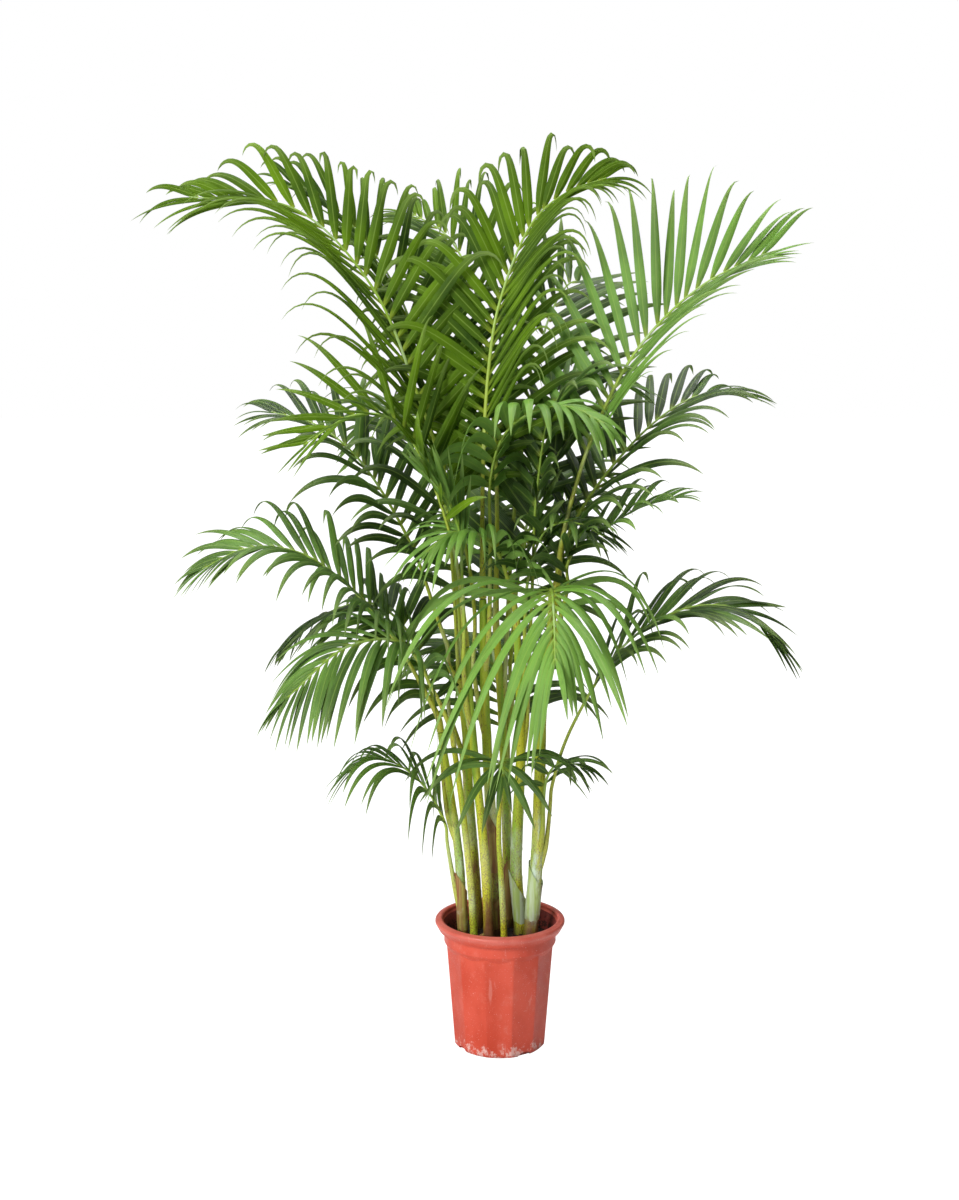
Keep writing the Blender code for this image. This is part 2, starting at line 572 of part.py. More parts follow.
def spine_rings(shares, half_foot):
    """(share, True where a leaflet grows from here to the next ring) for each ring of the spine."""
    stations = [(s, False) for s in np.linspace(0, shares[0] - half_foot * 2, PETIOLE_STATIONS)]
    for share in shares:
        stations += [(share - half_foot, True), (share + half_foot, False)]
    if stations[-1][0] < 1.0:
        stations.append((1.0, False))
    return stations


def ring_corners(place, frame, radius):
    ahead, upper, left = frame
    return [place + left * radius - upper * radius, place + left * radius + upper * radius,
            place - left * radius + upper * radius, place - left * radius - upper * radius]


def build_spine(bm, frond, path, frames, radii):
    """Lofts the square petiole and rachis. Returns the faces that leaflets grow from."""
    total = lengths_along(path)[-1]
    half_foot = LEAFLET_FOOT / 2 / total
    shares = leaflet_shares(frond)
    feet = []
    rings = []
    stations = spine_rings(shares, half_foot)
    for share, _ in stations:
        place = Vector(at_lengths(path, [share * total])[0])
        k = int(round(share * (len(path) - 1)))
        radius = float(np.interp(share * total, lengths_along(path), radii))
        rings.append([bm.verts.new(c) for c in ring_corners(place, frames[k], radius)])
    bm.faces.new(rings[0][::-1])
    bm.faces.new(rings[-1])
    pair = 0
    for i in range(len(rings) - 1):
        a, b = rings[i], rings[i + 1]
        walls = [bm.faces.new((a[j], a[(j + 1) % 4], b[(j + 1) % 4], b[j])) for j in range(4)]
        if stations[i][1]:
            k = int(round(shares[pair] * (len(path) - 1)))
            along = pair / (len(shares) - 1)
            feet += [(walls[0], 1, frames[k], along), (walls[2], -1, frames[k], along)]
            pair += 1
    return feet


def corner_index(vertex, middle, frame):
    """The place of a rachis face's corner in an outline."""
    ahead, upper, _ = frame
    front = (vertex.co - middle).dot(ahead) > 0
    high = (vertex.co - middle).dot(upper) > 0
    return (2 if front else 3) if high else (1 if front else 0)


def grow_leaflet(bm, face, frame, sections):
    """Extrudes a face of the rachis through the leaflet's sections."""
    middle = face.calc_center_median()
    corners = {corner_index(v, middle, frame): v.co.copy() for v in face.verts}
    for section in sections:
        face = bmesh.ops.extrude_discrete_faces(bm, faces=[face])["faces"][0]
        moved = outline(section)
        for vertex in face.verts:
            nearest = min(corners, key=lambda i: (corners[i] - vertex.co).length)
            vertex.co = moved[nearest]
        corners = dict(enumerate(moved))


def make_frond(frond, path, radii, taken, material, collection):
    bm = bmesh.new()
    frames = blade_frames(frond, path)
    own = []
    for face, side, frame, along in build_spine(bm, frond, path, frames, radii):
        foot = face.calc_center_median()
        for shrink in SHORTENINGS:
            for swerve in SWERVES:
                sections = sections_of_leaflet(frond, foot, frame, side, along, swerve, shrink)
                tree = tree_of_leaflet(foot, frame[0], sections)
                if has_room(tree, taken + own):
                    own.append(tree)
                    grow_leaflet(bm, face, frame, sections)
                    break
            else:
                continue
            break
    tree = BVHTree.FromBMesh(bm)
    add_mesh(frond["name"], bm, material, collection)
    return tree


def tube_tree(path, radii, sides=8):
    """A tube's surface for the leaflets' room test."""
    verts, faces = [], []
    tangents = np.gradient(path, axis=0)
    for place, tangent, radius in zip(path, tangents, radii):
        turn = Vector(tangent).to_track_quat("Z", "Y")
        for i in range(sides):
            angle = 2 * math.pi * i / sides
            corner = Vector((math.cos(angle), math.sin(angle), 0)) * radius
            verts.append(Vector(place) + turn @ corner)
    for k in range(len(path) - 1):
        for i in range(sides):
            j = (i + 1) % sides
            faces.append((k * sides + i, k * sides + j, (k + 1) * sides + j, (k + 1) * sides + i))
    return BVHTree.FromPolygons(verts, faces, all_triangles=False)


def main():
    clear_scene()
    palm = new_collection("potted_palm")
    cutters = new_collection("cutters")

    plastic = make_material("red_plastic", (0.62, 0.13, 0.08), 0.45)
    compost = make_material("compost", (0.02, 0.013, 0.009), 0.95)
    cane_skin = make_material("cane_skin", (0.38, 0.42, 0.07), 0.5)
    leaf_skin = make_material("leaf_skin", (0.07, 0.19, 0.03), 0.4)

    make_pot(plastic, palm, cutters)
    make_soil(compost, palm)
    make_stub(cane_skin, palm)

    canes = {}
    for name, low, high, points in CANES:
        path = cane_path(points)
        radii = low + (high - low) * lengths_along(path) / lengths_along(path)[-1]
        canes[name] = (path, radii)
        make_cane(name, path, radii, cane_skin, palm)

    spines = {}
    for frond in FRONDS:
        path = frond_path(frond, canes)
        radii = petiole_radii(path)
        swollen = radii * math.sqrt(2)  # out to the corners of the square section
        others = [away_from(path[0], *tube) for tube in list(canes.values()) + list(spines.values())]
        path = kept_clear(path, swollen, others)
        spines[frond["name"]] = (path, swollen)

    trees = {name: tube_tree(path, radii) for name, (path, radii) in {**canes, **spines}.items()}
    for frond in FRONDS:
        path, swollen = spines[frond["name"]]
        taken = [tree for name, tree in trees.items() if name != frond["name"]]
        trees[frond["name"]] = make_frond(frond, path, swollen / math.sqrt(2), taken, leaf_skin, palm)


main()
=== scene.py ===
"""How the potted areca palm looks: its pot, compost, canes and fronds, with studio light and a camera.

Metres, +Z up, front -Y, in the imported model's frame. The canes' and fronds' routes repeat the design's.
"""

from collections import namedtuple
from math import cos, exp, pi, radians, sin, sqrt, tau

import bmesh
import bpy
import numpy as np
from mathutils import Matrix, Vector, noise


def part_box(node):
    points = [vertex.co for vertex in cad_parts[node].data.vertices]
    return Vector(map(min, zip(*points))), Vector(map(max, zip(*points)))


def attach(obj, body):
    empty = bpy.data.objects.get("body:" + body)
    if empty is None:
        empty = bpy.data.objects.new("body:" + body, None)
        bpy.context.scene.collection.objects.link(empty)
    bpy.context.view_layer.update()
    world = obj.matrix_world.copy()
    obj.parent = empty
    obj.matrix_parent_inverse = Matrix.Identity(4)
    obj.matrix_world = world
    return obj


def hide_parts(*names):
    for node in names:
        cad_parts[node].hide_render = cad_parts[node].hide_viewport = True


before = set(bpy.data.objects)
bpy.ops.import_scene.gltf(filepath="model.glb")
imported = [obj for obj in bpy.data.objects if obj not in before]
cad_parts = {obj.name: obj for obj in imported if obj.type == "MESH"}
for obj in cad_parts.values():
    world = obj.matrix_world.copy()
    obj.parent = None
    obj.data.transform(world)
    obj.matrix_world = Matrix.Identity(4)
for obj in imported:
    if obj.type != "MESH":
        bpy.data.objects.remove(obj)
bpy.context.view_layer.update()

BODY = "root"
UP = np.array([0.0, 0.0, 1.0])
pot_low, pot_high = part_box("pot")
soil_low, soil_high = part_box("soil")
POT_HEIGHT = pot_high[2]
RIM_RADIUS = (pot_high[0] - pot_low[0]) / 2
SOIL_TOP = soil_high[2]

# Canes: (name, radius at the compost, radius at the top, axis points)
CANES = [
    ("cane_left", 0.0095, 0.0062,
     [(-0.069, -0.010, 0.22), (-0.074, -0.010, 0.34), (-0.081, -0.010, 0.41),
      (-0.095, -0.012, 0.51), (-0.108, -0.018, 0.60)]),
    ("cane_left_front", 0.0070, 0.0050,
     [(-0.048, -0.040, 0.22), (-0.054, -0.040, 0.32), (-0.063, -0.040, 0.41),
      (-0.073, -0.042, 0.50), (-0.084, -0.046, 0.58)]),
    ("cane_centre_left", 0.0095, 0.0062,
     [(-0.021, -0.030, 0.22), (-0.026, -0.030, 0.33), (-0.033, -0.030, 0.42),
      (-0.043, -0.030, 0.52), (-0.053, -0.030, 0.63), (-0.062, -0.030, 0.76)]),
    ("cane_centre", 0.0120, 0.0068,
     [(-0.005, 0.004, 0.22), (-0.011, 0.006, 0.38), (-0.019, 0.008, 0.47),
      (-0.028, 0.010, 0.66), (-0.032, 0.010, 0.84)]),
    ("cane_thin", 0.0060, 0.0042,
     [(0.007, -0.050, 0.22), (0.001, -0.050, 0.34), (-0.003, -0.052, 0.41), (-0.002, -0.056, 0.48)]),
    ("cane_right_centre", 0.0125, 0.0066,
     [(0.039, 0.020, 0.22), (0.030, 0.020, 0.32), (0.033, 0.020, 0.43),
      (0.038, 0.020, 0.57), (0.034, 0.020, 0.69), (0.030, 0.020, 0.78)]),
    ("cane_right", 0.0135, 0.0072,
     [(0.057, -0.010, 0.22), (0.068, -0.010, 0.37), (0.071, -0.010, 0.46),
      (0.075, -0.010, 0.64), (0.085, -0.010, 0.75), (0.099, -0.010, 0.86)]),
    ("cane_back_left", 0.0100, 0.0062,
     [(-0.041, 0.050, 0.22), (-0.048, 0.056, 0.34), (-0.056, 0.060, 0.45),
      (-0.063, 0.062, 0.57), (-0.074, 0.064, 0.66)]),
    ("cane_back_right", 0.0105, 0.0064,
     [(0.018, 0.056, 0.22), (0.015, 0.058, 0.33), (0.011, 0.060, 0.45),
      (0.004, 0.062, 0.60), (-0.006, 0.064, 0.76)]),
]

# Fronds. A frond leaves its cane at the height leaves_at, or else grows from its top, towards azimuth,
# which may swing on the way. Its spine is (distance out, height). The leaflets start at the share bare
# of its length, in so many pairs; reach and width are those of the longest. spread is their angle from
# the rachis at the lowest pair and at the tip, vee how far they stand above it, and roll turns the
# blade about it. lean opens the left side more than the right, uneven makes its leaflets longer and
# slim makes them narrower; a negative slim narrows the right side's. sag is how far a leaflet bends
# down and late how near its tip it does so, and tone runs from 0, dark, to 1, light. The last field,
# the sunlit flag, gives a frond a yellower, less glossy skin: its yellower green is painted light,
# standing in for light shining through the upper fronds. Angles are in degrees.
Frond = namedtuple("Frond", """name cane leaves_at azimuth spine bare pairs reach width vee roll sag late tone
                               spread lean uneven slim swing sunny""", defaults=[(66, 22), 0, 0, 0, 0, False])
FRONDS = [
    Frond("frond_top_left", "cane_centre", 0.66, 184,
          [(0.03, 0.91), (0.12, 1.21), (0.20, 1.40), (0.33, 1.53), (0.51, 1.55)],
          0.34, 27, 0.27, 0.020, 12, -74, 0.9, 2.2, 0.40,
          spread=(50, 13), lean=-0.42, slim=0.5, uneven=0.12, sunny=True),
    Frond("frond_top_centre", "cane_centre", None, 10,
          [(0.0, 1.06), (0.01, 1.25), (0.03, 1.37), (0.09, 1.51), (0.15, 1.56), (0.22, 1.585)],
          0.32, 26, 0.25, 0.020, 10, 72, 1.4, 2.2, 0.40, spread=(48, 13), lean=0.36, slim=-0.5, sunny=True),
    Frond("frond_right_long", "cane_right", None, -4,
          [(0.01, 0.95), (0.06, 1.13), (0.14, 1.29), (0.25, 1.40), (0.36, 1.455)],
          0.34, 20, 0.27, 0.019, 18, 50, 0.3, 2.0, 0.75, spread=(47, 18), lean=0.34, slim=-0.4, uneven=0.12),
    Frond("frond_top_left_back", "cane_back_left", 0.56, 164,
          [(0.03, 0.94), (0.06, 1.17), (0.12, 1.37), (0.22, 1.51), (0.33, 1.58)],
          0.40, 21, 0.24, 0.018, 30, -50, 0.9, 2.5, 0.2, spread=(50, 13), lean=-0.42, sunny=True),
    Frond("frond_top_back", "cane_back_right", None, 125,
          [(0.0, 0.98), (0.01, 1.14), (0.06, 1.37), (0.15, 1.48), (0.28, 1.53)],
          0.36, 21, 0.26, 0.019, 22, -35, 0.9, 3.0, 0.3, sunny=True),
    Frond("frond_right_back", "cane_back_right", 0.62, 64,
          [(0.05, 0.97), (0.10, 1.13), (0.20, 1.33), (0.31, 1.40), (0.43, 1.38)],
          0.38, 16, 0.25, 0.023, 25, 35, 0.35, 2.0, 0.2),
    Frond("frond_right_dark", "cane_right", 0.74, 25,
          [(0.03, 0.93), (0.08, 1.02), (0.21, 1.15), (0.31, 1.20), (0.39, 1.20)],
          0.26, 18, 0.23, 0.020, 15, 10, 0.8, 1.6, 0.15),
    Frond("frond_right_middle", "cane_right", 0.81, -8,
          [(0.03, 0.92), (0.09, 0.97), (0.15, 1.01), (0.21, 1.03)],
          0.18, 12, 0.18, 0.019, 20, 5, 0.7, 1.6, 0.5),
    Frond("frond_left_upper", "cane_back_left", None, 172,
          [(0.04, 0.79), (0.09, 0.93), (0.19, 1.09), (0.27, 1.15), (0.35, 1.17)],
          0.34, 18, 0.23, 0.019, 18, -25, 0.8, 1.5, 0.15),
    Frond("frond_left_spiky", "cane_centre_left", None, 196,
          [(0.02, 0.93), (0.07, 1.08), (0.13, 1.17), (0.20, 1.18), (0.29, 1.13)],
          0.38, 16, 0.22, 0.016, 35, -40, 0.25, 1.5, 0.5, sunny=True),
    Frond("frond_left_long", "cane_left", None, 188,
          [(0.03, 0.68), (0.08, 0.77), (0.15, 0.86), (0.25, 0.935), (0.34, 0.945), (0.42, 0.91)],
          0.28, 24, 0.22, 0.017, 20, -15, 1.1, 1.3, 0.45),
    Frond("frond_left_drooping", "cane_left_front", None, 203,
          [(0.04, 0.69), (0.10, 0.78), (0.20, 0.78), (0.31, 0.70)],
          0.26, 20, 0.24, 0.017, 10, -15, 1.7, 1.0, 0.5),
    Frond("frond_left_dark", "cane_left", 0.47, 148,
          [(0.03, 0.62), (0.09, 0.77), (0.17, 0.82), (0.28, 0.79), (0.38, 0.72)],
          0.28, 16, 0.21, 0.020, 10, -10, 1.3, 1.0, 0.1),
    Frond("frond_low_left", "cane_left", 0.33, 180,
          [(0.025, 0.42), (0.06, 0.49), (0.10, 0.53), (0.15, 0.55), (0.20, 0.53)],
          0.30, 14, 0.21, 0.014, 10, 0, 1.6, 1.0, 0.6, spread=(60, 20)),
    Frond("frond_centre_right", "cane_right_centre", 0.62, 12,
          [(0.02, 0.84), (0.03, 1.05), (0.06, 1.19), (0.12, 1.24), (0.21, 1.22)],
          0.52, 13, 0.19, 0.024, 15, 10, 0.7, 1.5, 0.15),
    Frond("frond_right_low", "cane_right", 0.40, -6,
          [(0.025, 0.50), (0.06, 0.61), (0.16, 0.77), (0.27, 0.835), (0.36, 0.83), (0.43, 0.77)],
          0.42, 18, 0.21, 0.019, 5, 12, 0.8, 1.2, 0.15, spread=(40, 12)),
    Frond("frond_low_right", "cane_right", 0.43, -60,
          [(0.02, 0.50), (0.035, 0.535), (0.06, 0.555), (0.10, 0.55)],
          0.40, 6, 0.13, 0.015, 10, 0, 1.6, 1.2, 0.2, swing=20),
    Frond("frond_centre_dark", "cane_back_right", 0.70, 12,
          [(0.03, 0.86), (0.06, 0.97), (0.09, 1.06), (0.13, 1.12)],
          0.33, 8, 0.20, 0.034, 35, 30, 0.15, 1.5, 0.05),
    Frond("frond_right_short", "cane_right_centre", 0.68, -40,
          [(0.02, 0.88), (0.06, 0.97), (0.12, 0.99), (0.19, 0.97)],
          0.48, 9, 0.15, 0.017, 10, 0, 1.0, 1.2, 0.2),
    Frond("frond_front_right", "cane_right", 0.77, -90,
          [(0.04, 0.86), (0.13, 0.88), (0.21, 0.85), (0.28, 0.79)],
          0.14, 16, 0.36, 0.018, 6, 8, 2.6, 1.0, 0.95, spread=(62, 16), uneven=-0.22),
    Frond("frond_front_centre", "cane_right_centre", None, -148,
          [(0.015, 0.86), (0.04, 0.925), (0.085, 0.965), (0.14, 0.97), (0.19, 0.94)],
          0.30, 17, 0.20, 0.015, 10, 0, 1.3, 1.1, 1.0, spread=(68, 20)),
    Frond("frond_front_top", "cane_centre", 0.78, -35,
          [(0.015, 0.95), (0.015, 1.06), (0.045, 1.14), (0.11, 1.185), (0.18, 1.195), (0.25, 1.17)],
          0.44, 15, 0.20, 0.021, 12, 0, 1.8, 1.2, 0.9, spread=(66, 18)),
    Frond("leaf_folded", "cane_centre_left", 0.68, 232,
          [(0.02, 0.90), (0.03, 0.98), (0.07, 1.04), (0.13, 1.09)],
          0.55, 9, 0.16, 0.014, 15, 0, 0.05, 1.0, 0.65, spread=(10, 4)),
    Frond("leaf_young", "cane_thin", None, -85,
          [(0.005, 0.53), (0.02, 0.56), (0.045, 0.565), (0.065, 0.55)],
          0.50, 6, 0.20, 0.018, 12, 0, 1.5, 1.0, 0.30, spread=(80, 12)),
    Frond("frond_back_left", "cane_back_left", 0.48, 118,
          [(0.03, 0.74), (0.09, 0.98), (0.19, 1.13), (0.33, 1.16), (0.45, 1.06)],
          0.36, 17, 0.24, 0.020, 15, 0, 0.9, 1.3, 0.25),
    Frond("frond_back_right", "cane_back_right", 0.48, 72,
          [(0.03, 0.70), (0.10, 0.90), (0.21, 1.02), (0.34, 1.03), (0.45, 0.93)],
          0.34, 17, 0.23, 0.020, 15, 0, 1.0, 1.3, 0.2),
    Frond("frond_back_low", "cane_back_right", 0.36, 100,
          [(0.03, 0.48), (0.08, 0.62), (0.17, 0.71), (0.28, 0.71), (0.38, 0.62)],
          0.34, 20, 0.24, 0.018, 10, 0, 1.5, 1.2, 0.25),
]

# Values of the design's routes
GAP = 0.0004
PETIOLE_RADIUS = 0.0040
RACHIS_TIP_RADIUS = 0.0013
TOP_GAP = 0.0022  # from a cane's end to the frond that grows from it
STRAIGHT_START = 0.025
CANE_STEPS = 9
CANE_FOOT = 0.010
SAMPLE_STEP = 0.005
PATH_CLEARANCE = 0.0016
CLEARING_ROUNDS = 60


# Colours and materials

LIGHT_THROUGH = 0.26  # share of a leaflet's skin that glows with the light behind it


def rgb(code):
    """A linear colour from a six-digit sRGB code."""
    parts = [int(code[i:i + 2], 16) / 255 for i in (0, 2, 4)]
    return tuple(c / 12.92 if c <= 0.04045 else ((c + 0.055) / 1.055) ** 2.4 for c in parts) + (1.0,)


class Paint:
    """Short calls for building the nodes of a material or a world."""

    def __init__(self, name, kind="materials", out="OutputMaterial"):
        self.made = getattr(bpy.data, kind).new(name)
        self.made.use_nodes = True
        self.tree = self.made.node_tree
        self.tree.nodes.clear()
        self.out = self.add(out)

    def add(self, kind, inputs=(), **settings):
        """A new node with its inputs set or linked. A text is a colour's code."""
        made = self.tree.nodes.new("ShaderNode" + kind)
        for key, value in settings.items():
            setattr(made, key, value)
        for key, value in dict(inputs).items():
            if isinstance(value, bpy.types.NodeSocket):
                self.tree.links.new(value, made.inputs[key])
            else:
                made.inputs[key].default_value = rgb(value) if isinstance(value, str) else value
        return made

    def place(self, scale=(1, 1, 1)):
        """Positions on the object, stretched by scale."""
        where = self.add("TexCoord").outputs["Object"]
        return self.add("Mapping", {"Vector": where, "Scale": scale}).outputs[0]

    def noise(self, scale, detail=3.0, stretch=(1, 1, 1), roughness=0.55):
        inputs = {"Vector": self.place(stretch), "Scale": scale, "Detail": detail, "Roughness": roughness}
        return self.add("TexNoise", inputs).outputs["Fac"]

    def attribute(self, name):
        return self.add("Attribute", attribute_name=name).outputs["Fac"]

    def sum(self, operation, a, b=0.0, clamp=False):
        return self.add("Math", {0: a, 1: b}, operation=operation, use_clamp=clamp).outputs[0]

    def times(self, a, b):
        return self.sum("MULTIPLY", a, b)

    def fade(self, value, low, high, out_low=0.0, out_high=1.0):
        inputs = {"Value": value, 1: low, 2: high, 3: out_low, 4: out_high}
        return self.add("MapRange", inputs, interpolation_type="SMOOTHSTEP").outputs[0]

    def mix(self, share, a, b):
        made = self.add("Mix", {0: share, 6: a, 7: b}, data_type="RGBA")
        return made.outputs[2]

    def coat(self, colour, other, value, low, high, share=1.0):
        """The colour with another over it, as the value rises from low to high."""
        return self.mix(self.fade(value, low, high, 0.0, share), colour, other)

    def shader(self, colour, roughness, height=None, bump=0.3, depth=0.001, **constants):
        inputs = {"Base Color": colour, "Roughness": roughness}
        inputs.update({key.replace("_", " "): value for key, value in constants.items()})
        if height is not None:
            normal = self.add("Bump", {"Height": height, "Strength": bump, "Distance": depth})
            inputs["Normal"] = normal.outputs[0]
        return self.add("BsdfPrincipled", inputs).outputs[0]

    def finish(self, surface):
        self.tree.links.new(surface, self.out.inputs["Surface"])
        return self.made


def leaf_material(name, dark, light, rough_low, gloss, through):
    """A leaflet's skin: parallel veins, a pale midrib, soft blotches and a painted silvery highlight towards
    the tip, with light coming through.
    """
    p = Paint(name)
    along, across, tone = p.attribute("along"), p.attribute("across"), p.attribute("tone")
    blotch = p.noise(9.0, 4.0)
    colour = p.mix(p.sum("ADD", tone, p.fade(blotch, 0.35, 0.7, -0.18, 0.18), clamp=True), dark, light)
    foot = p.fade(along, 0.0, 0.10, 0.55, 0.0)
    colour = p.mix(foot, colour, "a9b83a")
    # painted highlight: the outer part of each leaflet is blended towards a pale silvery green, standing in
    # for light glancing off the tips
    end = p.times(p.fade(along, 0.55, 1.0), 0.45)
    colour = p.mix(end, colour, "a6bf70")
    veins = p.sum("SINE", p.times(across, 34.0))
    fine = p.sum("SINE", p.times(across, 85.0))
    colour = p.coat(colour, "a5c46a", veins, -0.2, 1.0, 0.16)
    middle = p.fade(p.sum("ABSOLUTE", across), 0.03, 0.13, 0.50, 0.0)
    colour = p.mix(middle, colour, "9dbb52")
    streak = p.noise(60.0, 3.0, (1, 1, 0.25))
    colour = p.coat(colour, dark, streak, 0.62, 0.8, 0.35)
    height = p.sum("ADD", p.times(veins, 0.5), p.times(fine, 0.2))
    height = p.sum("ADD", height, p.times(middle, 1.4))
    height = p.sum("ADD", height, p.times(p.noise(40.0), 0.8))
    rough = p.fade(streak, 0.3, 0.8, rough_low, rough_low + 0.16)
    front = p.shader(colour, rough, height, 0.45, 0.0006, Specular_IOR_Level=gloss, IOR=1.45)
    glow = p.mix(0.55, colour, through)
    back = p.add("BsdfTranslucent", {"Color": glow}).outputs[0]
    return p.finish(p.add("MixShader", {0: LIGHT_THROUGH, 1: front, 2: back}).outputs[0])


def stalk_material(name, low, high, freckle, bloom_amount):
    """Petioles and rachises: golden green with brown freckles low down and a waxy bloom."""
    p = Paint(name)
    along = p.attribute("along")
    colour = p.coat(low, high, along, 0.0, 0.75)
    speck = p.noise(420.0, 2.0, (1, 1, 0.35))
    many = p.fade(along, 0.05, 0.6, 0.60, 0.72)
    specks = p.sum("GREATER_THAN", speck, many)
    colour = p.mix(p.times(specks, 0.75), colour, freckle)
    bloom = p.fade(p.noise(22.0, 4.0, (1, 1, 0.3)), 0.50, 0.72, 0.0, bloom_amount)
    colour = p.mix(bloom, colour, "c3d6bf")
    grain = p.noise(180.0, 3.0, (1, 1, 0.05))
    rough = p.fade(grain, 0.3, 0.7, 0.34, 0.5)
    return p.finish(p.shader(colour, rough, grain, 0.25, 0.0008))


def cane_material(name, brown_top, bloom_low, bloom_high, bloom_amount):
    """A cane: brown old sheath at its foot, freckled golden green above, with a band of white bloom."""
    p = Paint(name)
    where = p.add("SeparateXYZ", {0: p.place()}).outputs["Z"]
    streak = p.noise(55.0, 4.0, (1, 1, 0.07))
    brown = "6f3d24"
    colour = p.coat("8cb02c", "c8c628", streak, 0.35, 0.65)
    speck = p.noise(620.0, 2.0, (1, 1, 0.45))
    specks = p.sum("GREATER_THAN", speck, p.fade(where, SOIL_TOP, 0.7, 0.53, 0.66))
    colour = p.mix(p.times(specks, 0.7), colour, brown)
    low = p.fade(p.sum("ADD", where, p.fade(streak, 0.2, 0.8, -0.05, 0.05)), brown_top - 0.05, brown_top)
    patch = p.fade(p.noise(30.0, 4.0, (1, 1, 0.3)), 0.38, 0.60)
    rust = p.times(p.sum("SUBTRACT", 1.0, low), p.sum("ADD", p.times(patch, 0.6), 0.35))
    colour = p.mix(rust, colour, brown)
    rise = p.fade(where, bloom_low, bloom_low + 0.04)
    fall = p.fade(where, bloom_high - 0.04, bloom_high, 1.0, 0.0)
    wax = p.fade(p.noise(38.0, 5.0, (1, 1, 0.35), 0.7), 0.42, 0.62, 0.12, bloom_amount)
    wax = p.times(wax, p.times(rise, fall))
    colour = p.mix(wax, colour, "cfe0cf")
    dirt = p.fade(where, SOIL_TOP, SOIL_TOP + 0.03, 0.7, 0.0)
    colour = p.mix(dirt, colour, "2b1a10")
    fibre = p.noise(140.0, 4.0, (1, 1, 0.04))
    height = p.sum("ADD", fibre, p.times(p.noise(35.0, 3.0), 0.5))
    rough = p.fade(patch, 0.0, 1.0, 0.42, 0.62)
    return p.finish(p.shader(colour, rough, height, 0.5, 0.0012))


def sheath_material(name, inner, outer):
    """A dead leaf sheath: papery, fibrous and blotched."""
    p = Paint(name)
    fibre = p.noise(160.0, 5.0, (1, 1, 0.05))
    colour = p.coat(inner, outer, fibre, 0.35, 0.65)
    blotch = p.noise(45.0, 4.0, (1, 1, 0.4))
    colour = p.coat(colour, "6d4a2c", blotch, 0.52, 0.70, 0.8)
    colour = p.coat(colour, "cbd6c0", p.noise(26.0, 4.0), 0.58, 0.7, 0.6)
    return p.finish(p.shader(colour, p.fade(fibre, 0.3, 0.7, 0.5, 0.75), fibre, 0.6, 0.0010))


def pot_material():
    """Sun-dulled red plastic, scuffed and splashed, with lime marks low down and a painted highlight round
    the top of the rim.
    """
    p = Paint("pot_red_plastic")
    z = p.add("SeparateXYZ", {0: p.place()}).outputs["Z"]
    cloud = p.noise(14.0, 5.0, (1, 1, 0.6))
    colour = p.coat("c63f22", "d8523a", cloud, 0.35, 0.68)
    dust = p.noise(38.0, 6.0, (1, 1, 0.7), 0.7)
    colour = p.coat(colour, "de8a78", dust, 0.52, 0.72, 0.30)
    scratch = p.noise(90.0, 3.0, (1.0, 1.0, 0.12))
    colour = p.coat(colour, "e8aca0", scratch, 0.66, 0.74, 0.25)
    speck = p.noise(520.0, 2.0)
    colour = p.mix(p.times(p.sum("GREATER_THAN", speck, 0.70), 0.55), colour, "f0cfc6")
    lime_noise = p.noise(70.0, 6.0, (1, 1, 0.8), 0.75)
    lime_edge = p.fade(z, 0.0, 0.065, 0.46, 0.74)
    lime = p.fade(p.sum("SUBTRACT", lime_noise, lime_edge), 0.0, 0.10, 0.0, 0.8)
    colour = p.mix(lime, colour, "e9c3ba")
    earth = p.fade(z, 0.0, 0.012, 0.5, 0.0)
    colour = p.mix(p.times(earth, p.fade(dust, 0.4, 0.6)), colour, "6d3226")
    # painted highlight: a paler pink band round the top of the rim, where the light catches its rolled lip
    painted_rim_highlight = p.fade(z, POT_HEIGHT - 0.017, POT_HEIGHT - 0.010, 0.0, 0.45)
    colour = p.mix(p.times(painted_rim_highlight, p.fade(cloud, 0.3, 0.6, 0.6, 1.0)), colour, "dd8378")
    height = p.sum("ADD", p.times(scratch, 0.4), p.times(p.noise(260.0, 4.0), 0.5))
    rough = p.fade(dust, 0.35, 0.7, 0.36, 0.58)
    return p.finish(p.shader(colour, rough, height, 0.22, 0.0006))


def pot_inside_material():
    """The pot's inner wall: darker than the outside as painted shade, and splashed with compost."""
    p = Paint("pot_inner_plastic_painted_shade")
    z = p.add("SeparateXYZ", {0: p.place()}).outputs["Z"]
    # painted shade: the inner wall takes darker reds than the outside, for the shade inside the pot
    colour = p.coat("7a2e28", "9c433a", p.noise(18.0, 5.0), 0.35, 0.65)
    splash = p.noise(110.0, 6.0, roughness=0.7)
    dirty = p.fade(z, SOIL_TOP, POT_HEIGHT, 0.42, 0.68)
    colour = p.coat(colour, "33190f", p.sum("SUBTRACT", splash, dirty), 0.0, 0.08, 0.85)
    pale = p.noise(75.0, 5.0, roughness=0.7)
    colour = p.coat(colour, "c9a27e", pale, 0.62, 0.70, 0.6)
    return p.finish(p.shader(colour, p.fade(splash, 0.3, 0.7, 0.45, 0.8), splash, 0.4, 0.0010))


def compost_material(name, dark, light):
    """Damp, grainy compost."""
    p = Paint(name)
    grain = p.noise(240.0, 6.0, roughness=0.75)
    colour = p.coat(dark, light, grain, 0.4, 0.7)
    colour = p.coat(colour, "3a2416", p.noise(50.0, 4.0), 0.55, 0.7, 0.5)
    return p.finish(p.shader(colour, 0.93, grain, 0.8, 0.0020))


